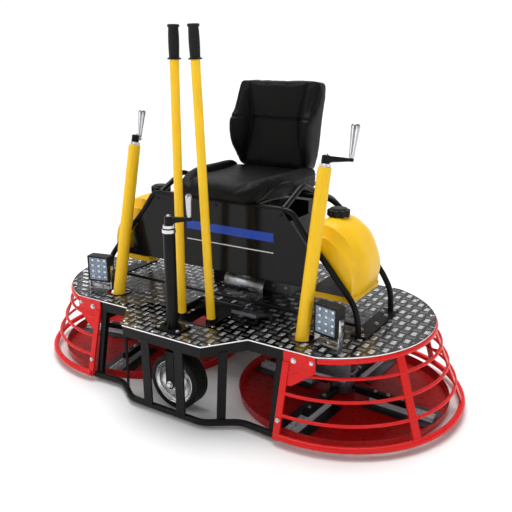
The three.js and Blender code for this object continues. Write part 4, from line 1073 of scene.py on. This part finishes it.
# ---- rotors ----------------------------------------------------------------------------------
def blade_shape():
    """Along +X: thin wide blade, ribbed silver stiffener, black arm with its bolts."""
    shape = Shape()
    low, high = 4.5, 7.0
    outline = [(BLADE_INNER, -BLADE_HALF), (BLADE_OUTER, -BLADE_HALF), (BLADE_OUTER, BLADE_HALF),
               (BLADE_INNER, BLADE_HALF)]
    shape.plate(outline, low, high)
    half = [(26, 7), (26, 11), (20, 14), (20, 22), (15, 25), (5, 25), (3, 21)]
    section = [(-26, 7)] + half + [(-y, z) for y, z in half[:0:-1]]
    lay = spun(90, "Y") @ spun(90, "Z")
    shape.plate(section, BLADE_INNER + 14, BLADE_OUTER - 8, slot=1, place=lay)
    arm = [(-15, 24.5), (15, 24.5), (15, 47), (12, 50), (-12, 50), (-15, 47)]
    shape.plate(arm, 66, 292, slot=2, place=lay)
    shape.rod((30, 0, BLADE_PIVOT_Z), (70, 0, BLADE_PIVOT_Z), 9.6, 20, 2)
    for x in (150, 205, 262):
        bolt(shape, (x, 0, 50), (0, 0, 1), 7, 3)
    for x in (330, 372):
        for y in (-10, 10):
            button_head(shape, (x, y, 25), (0, 0, 1), 4.5, 3)
    return shape


def gearbox_details(side):
    """Cover bolts, oil plugs and the yoke's bearing, around a rotor axis at the origin."""
    shape = Shape()
    for k in range(8):
        angle = TAU * (k + 0.5) / 8
        bolt(shape, (46 * math.cos(angle), 46 * math.sin(angle), 288), (0, 0, 1), 6)
    for k in range(12):
        angle = TAU * k / 12
        bolt(shape, (78 * math.cos(angle), 78 * math.sin(angle), 274), (0, 0, 1), 5)
    shape.turned([(28.4, -4), (44, -4), (44, 4), (28.4, 4)], 36, 0,
                 facing((-side * 98, 0, SHAFT_Z), (1, 0, 0)))
    for way in (-1, 1):
        low, high = sorted((way * 113, way * 120))
        shape.block((-92, low, 112), (62, high, 188), 1)
        for x in (-82, 52):
            for z in (122, 178):
                bolt(shape, (x, way * 120, z), (0, way, 0), 5.5)
    return shape


def make_rotors():
    for name, side in (("left", -1), ("right", 1)):
        place = moved(side * ROTOR_X, 0, 0)
        pan = Shape()
        lip = [(420, 0.3), (423, 1.5), (425, 6), (428.6, 34), (430, 37.5), (429, 39.6), (427, 39.2),
               (426, 36), (422, 8), (419, 3.8), (414, 3)]
        pan.turned([(0, 0), (300, 0), *lip, (300, 3), (120, 3), (0, 3)], 144)
        piece(f"{name}_pan_dish", pan, f"{name}_pan", [PAN_RED], [f"{name}_float_pan"],
              bevel=0, place=place)
        blade = blade_shape()
        for i in range(4):
            turn = place @ spun(BLADE_START[name] + 90 * i, "Z")
            piece(f"{name}_trowel_blade_{i + 1}", blade, f"{name}_blade_{i + 1}_unit",
                  [DARK_STEEL, SILVER, BLACK, ZINC], [f"{name}_blade_{i + 1}"], bevel=0.5,
                  place=turn)
        dress(f"{name}_gearbox", CAST, 1.6)
        dress(f"{name}_spider", CAST, 1.2)
        dress(f"{name}_thrust_plate", STEEL, 0.6)
        piece(f"{name}_gearbox_bolts", gearbox_details(side), f"{name}_gearbox_unit", [ZINC, SILVER],
              bevel=0.4, place=place)
    dress("right_gimbal", BLACK, 1.2)


# ---- engine and drive ------------------------------------------------------------------------
def engine_shape():
    e = Shape()  # slots: alloy, black, steel, dark
    floor = DECK_TOP + 0.3
    e.block((24, 78, floor), (205, 320, 470))
    e.block((30, 84, 470), (199, 312, 560), 1)
    e.block((-205, 78, floor), (-90, 320, 400), 1)
    e.block((-198, 86, 400), (-97, 312, 560), 2)
    for k in range(9):  # louvres on the exhaust box
        e.block((-206, 100 + k * 23, 420), (-197, 112 + k * 23, 540), 3)
    e.block((-205, 60, 566), (205, 326, 680), 1)
    e.block((-196, 70, 556), (196, 318, 570), 3)
    e.block((-180, 52, 586), (180, 62, 664), 1)
    for k in range(13):  # slots of the cooling shroud, drawn as dark strips: painted shade of the openings
        x = -168 + k * 28
        e.block((x, 324, 584), (x + 14, 330, 664), 3)
    for x, radius in ((100, 62), (-148, 50)):  # finned cylinder heads
        for k in range(8):
            y = -11 + k * 9
            e.turned([(0, 0), (radius, 0), (radius, 3), (0, 3)], 36, 0, facing((x, y + 3, 492), (0, -1, 0)))
        e.rod((x, -10, 492), (x, 74, 492), radius * 0.72, 32)
        e.block((x - radius * 0.5, -12, 470), (x + radius * 0.5, -4, 514), 2)
        bolt(e, (x - radius * 0.32, -12, 492), (0, -1, 0), 7, 2)
        bolt(e, (x + radius * 0.32, -12, 492), (0, -1, 0), 7, 2)
    e.turned([(0, 676), (98, 676), (104, 684), (104, 732), (98, 741), (60, 744), (0, 744)], 64, 1,
             Matrix.Translation((0, 190, 0)))
    bolt(e, (0, 190, 743), (0, 0, 1), 9, 2, washer=False)
    e.block((60, 225, 678), (204, 322, 738), 1)  # intake box beside the air cleaner
    for k in range(16):
        angle = TAU * k / 16
        e.block((-2, -2, 690), (2, 2, 728), 3,
                Matrix.Translation((104 * math.cos(angle), 190 + 104 * math.sin(angle), 0)))
    for x in (50, 115, 180):
        bolt(e, (x, 78, 372), (0, -1, 0), 7, 2)
        bolt(e, (x, 320, 372), (0, 1, 0), 7, 2)
    e.turned([(0, 0), (44, 0), (44, 10), (36, 16), (0, 16)], 40, 3, facing((205, 200, 430), (1, 0, 0)))
    e.block((60, 318, 400), (170, 330, 520), 1)
    return e


def make_engine():
    piece("engine_block", engine_shape(), "chassis", [ALLOY, BLACK, STEEL, DARK_STEEL], ["engine"],
          bevel=1.2)
    dress("engine_pulley", CAST, 0.8)
    dress("drive_shaft", STEEL, 0.8)
    dress("drive_belt", TYRE, 0.4)
    dress("belt_guard", STEEL, 0.8, 50)


# ---- lamps and pedal -------------------------------------------------------------------------
def lamp_shape():
    """A black box with a deep bezel; the faceted reflector and the chips sit behind the lens."""
    s = Shape()
    w, h, d = 51.5, 57.5, 25
    s.plate([(-w, -h), (w, -h), (w, h), (-w, h)], 6, 2 * d,
            place=Matrix.Translation((0, -d, 0)) @ spun(-90, "X"))
    frame_hole = [(-w + 7, -h + 7), (w - 7, -h + 7), (w - 7, h - 7), (-w + 7, h - 7)]
    s.plate([(-w, -h), (w, -h), (w, h), (-w, h)], 0, 7, [frame_hole],
            place=Matrix.Translation((0, -d + 7, 0)) @ spun(90, "X"))
    for k in range(7):
        s.block((-36 + k * 11, d - 1, -40), (-32 + k * 11, d + 13, 40))
    s.block((-38, d - 1, -42), (38, d + 4, 42))
    columns, rows = 3, 4
    cell_w, cell_h = (2 * w - 14) / columns, (2 * h - 14) / rows
    for c in range(columns):
        for r in range(rows):
            x0, z0 = -w + 7 + c * cell_w, -h + 7 + r * cell_h
            x1, z1 = x0 + cell_w, z0 + cell_h
            cx, cz = (x0 + x1) / 2, (z0 + z1) / 2
            front, back = -d + 3.2, -d + 5.9
            corners = [(-1, -1), (1, -1), (1, 1), (-1, 1)]
            verts = [(x0, front, z0), (x1, front, z0), (x1, front, z1), (x0, front, z1)]
            verts += [(cx + 5 * u, back, cz + 4 * v) for u, v in corners]
            s.add(verts, [(0, 1, 5, 4), (1, 2, 6, 5), (2, 3, 7, 6), (3, 0, 4, 7)], 1)
            s.add([verts[4], verts[5], verts[6], verts[7]], [(0, 1, 2, 3)], 2)
    return s


def make_lamps():
    for name, side in (("left", -1), ("right", 1)):
        place = moved(side * LAMP_X, LAMP_Y, LAMP_Z)
        place = place @ spun(-side * LAMP_YAW, "Z")
        piece(f"{name}_work_lamp", lamp_shape(), f"{name}_lamp_head", [BLACK_PLASTIC, REFLECTOR, LED],
              [f"{name}_lamp"], bevel=0.8, place=place)
        lens = Shape().block((-44.3, -24.4, -50.3), (44.3, -22.4, 50.3))
        piece(f"{name}_lamp_lens", lens, f"{name}_lamp_head", [LENS], bevel=0.6,
              place=place)
        dress(f"{name}_lamp_bracket", ZINC, 0.8)
        knobs = Shape()
        for way in (-1, 1):
            bolt(knobs, (way * 56.3, 0, 0), (way, 0, 0), 7)
        bolt(knobs, (0, 0, DECK_TOP + 4.3 - LAMP_Z), (0, 0, 1), 7)
        piece(f"{name}_lamp_knobs", knobs, "chassis", [ZINC], bevel=0.4, place=place)


def make_pedal():
    place = moved(PEDAL_X, PEDAL_Y, PEDAL_Z)
    place = place @ spun(-PEDAL_SLOPE, "X")
    pedal = Shape()
    half, length = 57, 108
    slots = []
    for row in range(4):
        for column in range(3):
            x, y = -36 + 36 * column, -24 - row * 21
            slots.append([(x - 11, y - 3.5), (x + 11, y - 3.5), (x + 11, y + 3.5), (x - 11, y + 3.5)])
    pedal.plate([(-half, -length), (half, -length), (half, 0), (-half, 0)], 2, 6, slots)
    pedal.block((-half, -length, 2), (half, -length + 5, 14))
    for slot in slots:
        (x0, y0), _, (x1, y1), _ = slot
        pedal.block((x0, y0 - 1.6, 5), (x1, y0, 8))
    pedal.turned([(4.6, -half), (8, -half), (8, half), (4.6, half)], 24, place=facing((0, 0, 0), (1, 0, 0)))
    piece("treadle_pedal", pedal, "pedal", [DARK_STEEL], ["foot_pedal"], bevel=0.6, place=place)
    dress("right_lever_yoke", BLACK, 0.8)


# ---- seat ------------------------------------------------------------------------------------
def along(table, at):
    """Linear interpolation in rows of (position, value, value...)."""
    for low, high in zip(table, table[1:]):
        if at <= high[0]:
            t = (at - low[0]) / (high[0] - low[0])
            return [a + (b - a) * t for a, b in zip(low[1:], high[1:])]
    return list(table[-1][1:])


def half_loop(points, steps=3):
    """A smooth curve through the points of a right half, from front centre round to back centre."""
    points = [Vector(p) for p in points]
    mirror = [Vector((-p.x, p.y)) for p in points]
    ring = points + mirror[-2:0:-1]
    return smooth_loop(ring, steps)


CUSHION = [  # y, half-width, middle height, bolster height, bottom
    (-221, 128, 822, 822, 807), (-218, 150, 834, 836, 801), (-208, 168, 845, 849, 797.5),
    (-190, 180, 853, 860, 797.3), (-160, 189, 858, 869, 797.3), (-124, 198, 860, 876, 797.3),
    (-70, 211, 859, 881, 797.3), (-26, 220, 857, 883, 797.3), (40, 224, 855, 883, 797.3),
    (109, 226, 855, 882, 797.3), (180, 229, 858, 883, 797.3), (238, 230, 862, 883, 797.3),
    (248, 227, 862, 880, 799), (250, 221, 857, 872, 803)]
BACKREST = [  # height, half-width, wing depth, seam half-width
    (-16, 150, 2, 138), (0, 172, 14, 160), (6, 178, 20, 160), (60, 192, 50, 148), (100, 197, 74, 138),
    (150, 200, 86, 126),
    (190, 201, 88, 121), (213, 202, 80, 120), (245, 203, 58, 124), (300, 205, 32, 133), (350, 205, 11, 142),
    (372, 201, 3, 145), (382, 190, 0, 146)]
SEAM_GROOVE = 5
SEAT_PAN_TOP, BOLSTER, CREASE_Z = 797.3, 60, 213
SEAT_BACK_LEAN = 6
SWELL, STUFFING = 6, 0.85  # how far the cloth may swell, and how full the covers are


def cushion_loop(y):
    """A section across the cushion: flat base, rounded bolsters, a seam on each side of the middle."""
    w, t, k, bottom = along(CUSHION, y)
    s = w - BOLSTER
    k = max(k, bottom + 18)
    half = [(0, bottom), (w * 0.6, bottom), (w - 14, bottom), (w - 4, bottom + 4),
            (w, bottom + 0.3 * (k - bottom)), (w + 1, bottom + 0.6 * (k - bottom)),
            (w - 4, k - 7), (w - 15, k - 1), (w - 29, k), (w - 44, k - 5),
            (s + 7, t + 1), (s, t - SEAM_GROOVE), (s - 7, t + 1.5), (s * 0.6, t + 3.5), (0, t + 4)]
    return [(p.x, y, p.y) for p in half_loop(half)]


def backrest_loop(z, groove):
    """A level section of the backrest with its wings; groove sinks the front."""
    w, d, c = along(BACKREST, z)
    end = max(0.0, 1 - min(z - BACKREST[0][0], BACKREST[-1][0] - z) / 14)
    crown = 9 * (1 - end)
    back = 78 - 12 * end
    half = [(0, back), (w * 0.6, back), (w - 20, back), (w - 5, 70 - 9 * end), (w, 52 - 5 * end),
            (w + 1, 14), (w, -0.5 * d), (w - 5, -0.86 * d), (w - 15, -d), (w - 29, -0.95 * d),
            (c + 0.4 * (w - 29 - c), -0.52 * d - 4), (c + 6, -6), (c, SEAM_GROOVE - 4), (c - 7, -5),
            (c * 0.6, -crown), (0, -crown - 2)]
    half = [(x, y + groove if y < 10 else y) for x, y in half]
    return [(p.x, p.y, z) for p in half_loop(half)]


def baked(thing):
    """Replaces the mesh by what its modifiers make of it, and drops them."""
    graph = bpy.context.evaluated_depsgraph_get()
    mesh = bpy.data.meshes.new_from_object(thing.evaluated_get(graph))
    thing.modifiers.clear()
    thing.data = mesh
    return mesh


def filled(thing, seams, voxel=5, steps=20):
    """A stuffed cover: cloth under pressure, no point moved further than SWELL, then sewn seams."""
    grid = thing.modifiers.new("grid", "REMESH")
    grid.mode = "VOXEL"
    grid.voxel_size = voxel * MM
    mesh = baked(thing)
    start = [v.co.copy() for v in mesh.vertices]
    cover = thing.modifiers.new("cover", "CLOTH")
    cover.settings.effector_weights.gravity = 0
    cover.settings.use_pressure = True
    cover.settings.uniform_pressure_force = 4
    cover.point_cache.frame_start, cover.point_cache.frame_end = 1, steps
    for step in range(1, steps + 1):
        bpy.context.scene.frame_set(step)
    graph = bpy.context.evaluated_depsgraph_get()
    blown = [v.co.copy() for v in thing.evaluated_get(graph).data.vertices]
    thing.modifiers.clear()
    bpy.context.scene.frame_set(1)
    for vertex, old, new in zip(mesh.vertices, start, blown):
        shift = new - old
        if shift.length > SWELL * MM:
            shift *= SWELL * MM / shift.length
        vertex.co = old + shift
    for vertex in mesh.vertices:
        vertex.co = seams(vertex.co / MM) * MM
    mesh.polygons.foreach_set("use_smooth", [True] * len(mesh.polygons))
    finer = thing.modifiers.new("finer", "SUBSURF")
    finer.levels = finer.render_levels = 1


def notch(distance, width, depth):
    return depth * math.exp(-(distance / width) ** 2)


def cushion_seams(p):
    """Two seams beside the middle; the underside stays flat on the seat pan."""
    half_width, middle, _, bottom = along(CUSHION, max(CUSHION[0][0], min(CUSHION[-1][0], p.y)))
    if p.z > middle - 22:
        p.z -= notch(abs(p.x) - (half_width - BOLSTER), 6, 4.5)
    p.z = max(p.z, bottom, SEAT_PAN_TOP)
    return p


def backrest_seams(p):
    """A seam across at mid height and one along each wing; the back stays clear of its bracket."""
    _, _, crease = along(BACKREST, max(BACKREST[0][0], min(BACKREST[-1][0], p.z)))
    if p.y < 20:
        p.y += notch(p.z - CREASE_Z, 5, 5) + notch(abs(p.x) - crease, 5.5, 3.5)
    p.y = min(p.y, 79)
    return p


def make_seat():
    stations = [-221, -219.5, -218, -213, -208, -199, -190, -175, -160, -142, -124, -97, -70, -48, -26, 7,
                40, 75, 109, 145, 180, 210, 238, 243, 248, 250]
    cushion = lofted([cushion_loop(y) for y in stations]).turned_out()
    pad = piece("seat_cushion_pad", cushion, "chassis", [LEATHER], ["seat_cushion"], bevel=0,
                smooth_deg=180, subdivide=1)
    filled(pad, cushion_seams)
    seam = [(184, -168, 799), (194, -136, 812), (203, -104, 831), (213, -62, 850), (221.5, -24, 858),
            (225.5, 40, 853), (227.5, 109, 850), (231, 180, 851), (231, 236, 853)]
    piping = both_sides(Shape().tube(smooth_line(seam), 1.8, 8))
    piece("seat_cushion_piping", piping, "chassis", [PIPING], bevel=0, smooth_deg=180)

    place = Matrix.Translation((0, 0.268, 0.862)) @ spun(-SEAT_BACK_LEAN, "X")
    heights = [-16, -12, -6, 0, 6, 14, 30, 60, 80, 100, 125, 150, 172, 190, 203, 209, CREASE_Z, 217, 223,
               245, 270, 300, 325, 350, 364, 372, 378, 382]
    grooves = {209: 1, CREASE_Z: SEAM_GROOVE, 217: 1}
    backrest = lofted([backrest_loop(z, grooves.get(z, 0)) for z in heights])
    pad = piece("seat_backrest_pad", backrest, "chassis", [LEATHER], ["seat_backrest"],
                bevel=0, smooth_deg=180, subdivide=1, place=place)
    filled(pad, backrest_seams)
    welt = Shape().tube([(along(BACKREST, z)[0] + 1.6, 36, z) for z in heights[6:-6]], 2.2, 8)
    piece("seat_backrest_piping", both_sides(welt), "chassis", [PIPING], bevel=0,
          smooth_deg=180, place=place)


# ---- studio ----------------------------------------------------------------------------------
def make_studio():
    """A pale floor, a sky that is bright only along the horizon, a wide soft sun and two softboxes."""
    world = bpy.data.worlds.new("studio")
    bpy.context.scene.world = world
    world.use_nodes = True
    tree = world.node_tree
    place = tree.nodes.new("ShaderNodeTexCoord")
    split = tree.nodes.new("ShaderNodeSeparateXYZ")
    fade = tree.nodes.new("ShaderNodeMapRange")
    tree.links.new(place.outputs["Generated"], split.inputs[0])
    tree.links.new(split.outputs["Z"], fade.inputs["Value"])
    set_range(fade, 0.09, 0.24, 1.02, 0.38)
    background = tree.nodes["Background"]
    background.inputs["Color"].default_value = (1, 1, 1, 1)
    tree.links.new(fade.outputs["Result"], background.inputs["Strength"])

    n = Nodes("pale_floor", (0.9, 0.9, 0.9), 0.8, specular=0.1)
    n.two_toned(n.noise(3, 3), 0.3, 0.7, (0.89, 0.89, 0.89), (0.91, 0.91, 0.91))
    mesh = bpy.data.meshes.new("floor")
    size = 60
    corners = [(-size, -size, 0), (size, -size, 0), (size, size, 0), (-size, size, 0)]
    mesh.from_pydata(corners, [], [(0, 1, 2, 3)])
    mesh.materials.append(n.material)
    floor = bpy.data.objects.new("floor", mesh)
    bpy.context.scene.collection.objects.link(floor)

    def aimed(name, light, place, target=(0, 0, 0.5)):
        lamp = bpy.data.objects.new(name, light)
        lamp.location = place
        lamp.rotation_euler = (Vector(target) - Vector(place)).to_track_quat("-Z", "Y").to_euler()
        bpy.context.scene.collection.objects.link(lamp)

    sun = bpy.data.lights.new("overhead", "SUN")
    sun.energy = 3.0
    sun.angle = math.radians(50)
    aimed("overhead", sun, (-1.0, 1.1, 4.5))
    for name, place, power in (("key", (-2.6, -3.2, 2.6), 32), ("fill", (3.6, -2.2, 2.0), 18)):
        box = bpy.data.lights.new(name, "AREA")
        box.shape = "SQUARE"
        box.size = 2.0
        box.energy = power
        aimed(name, box, place)


def make_camera():
    """Three-quarter view from the right front, a little above the seat."""
    camera = bpy.data.cameras.new("camera")
    camera.lens = 45.9
    camera.sensor_width = 36
    camera.dof.use_dof = False
    holder = bpy.data.objects.new("camera", camera)
    holder.location = (1.4959, -2.2551, 1.3382)
    holder.rotation_euler = Vector((-0.5097, 0.8091, -0.2926)).to_track_quat("-Z", "Y").to_euler()
    bpy.context.scene.collection.objects.link(holder)
    bpy.context.scene.camera = holder


make_camera()
make_studio()
bpy.context.scene.view_settings.view_transform = "Standard"
make_deck()
make_main_frame()
make_guards()
make_seat_frame()
make_panel()
make_tanks()
make_levers()
make_posts()
make_jacks()
make_rotors()
make_engine()
make_lamps()
make_pedal()
make_seat()
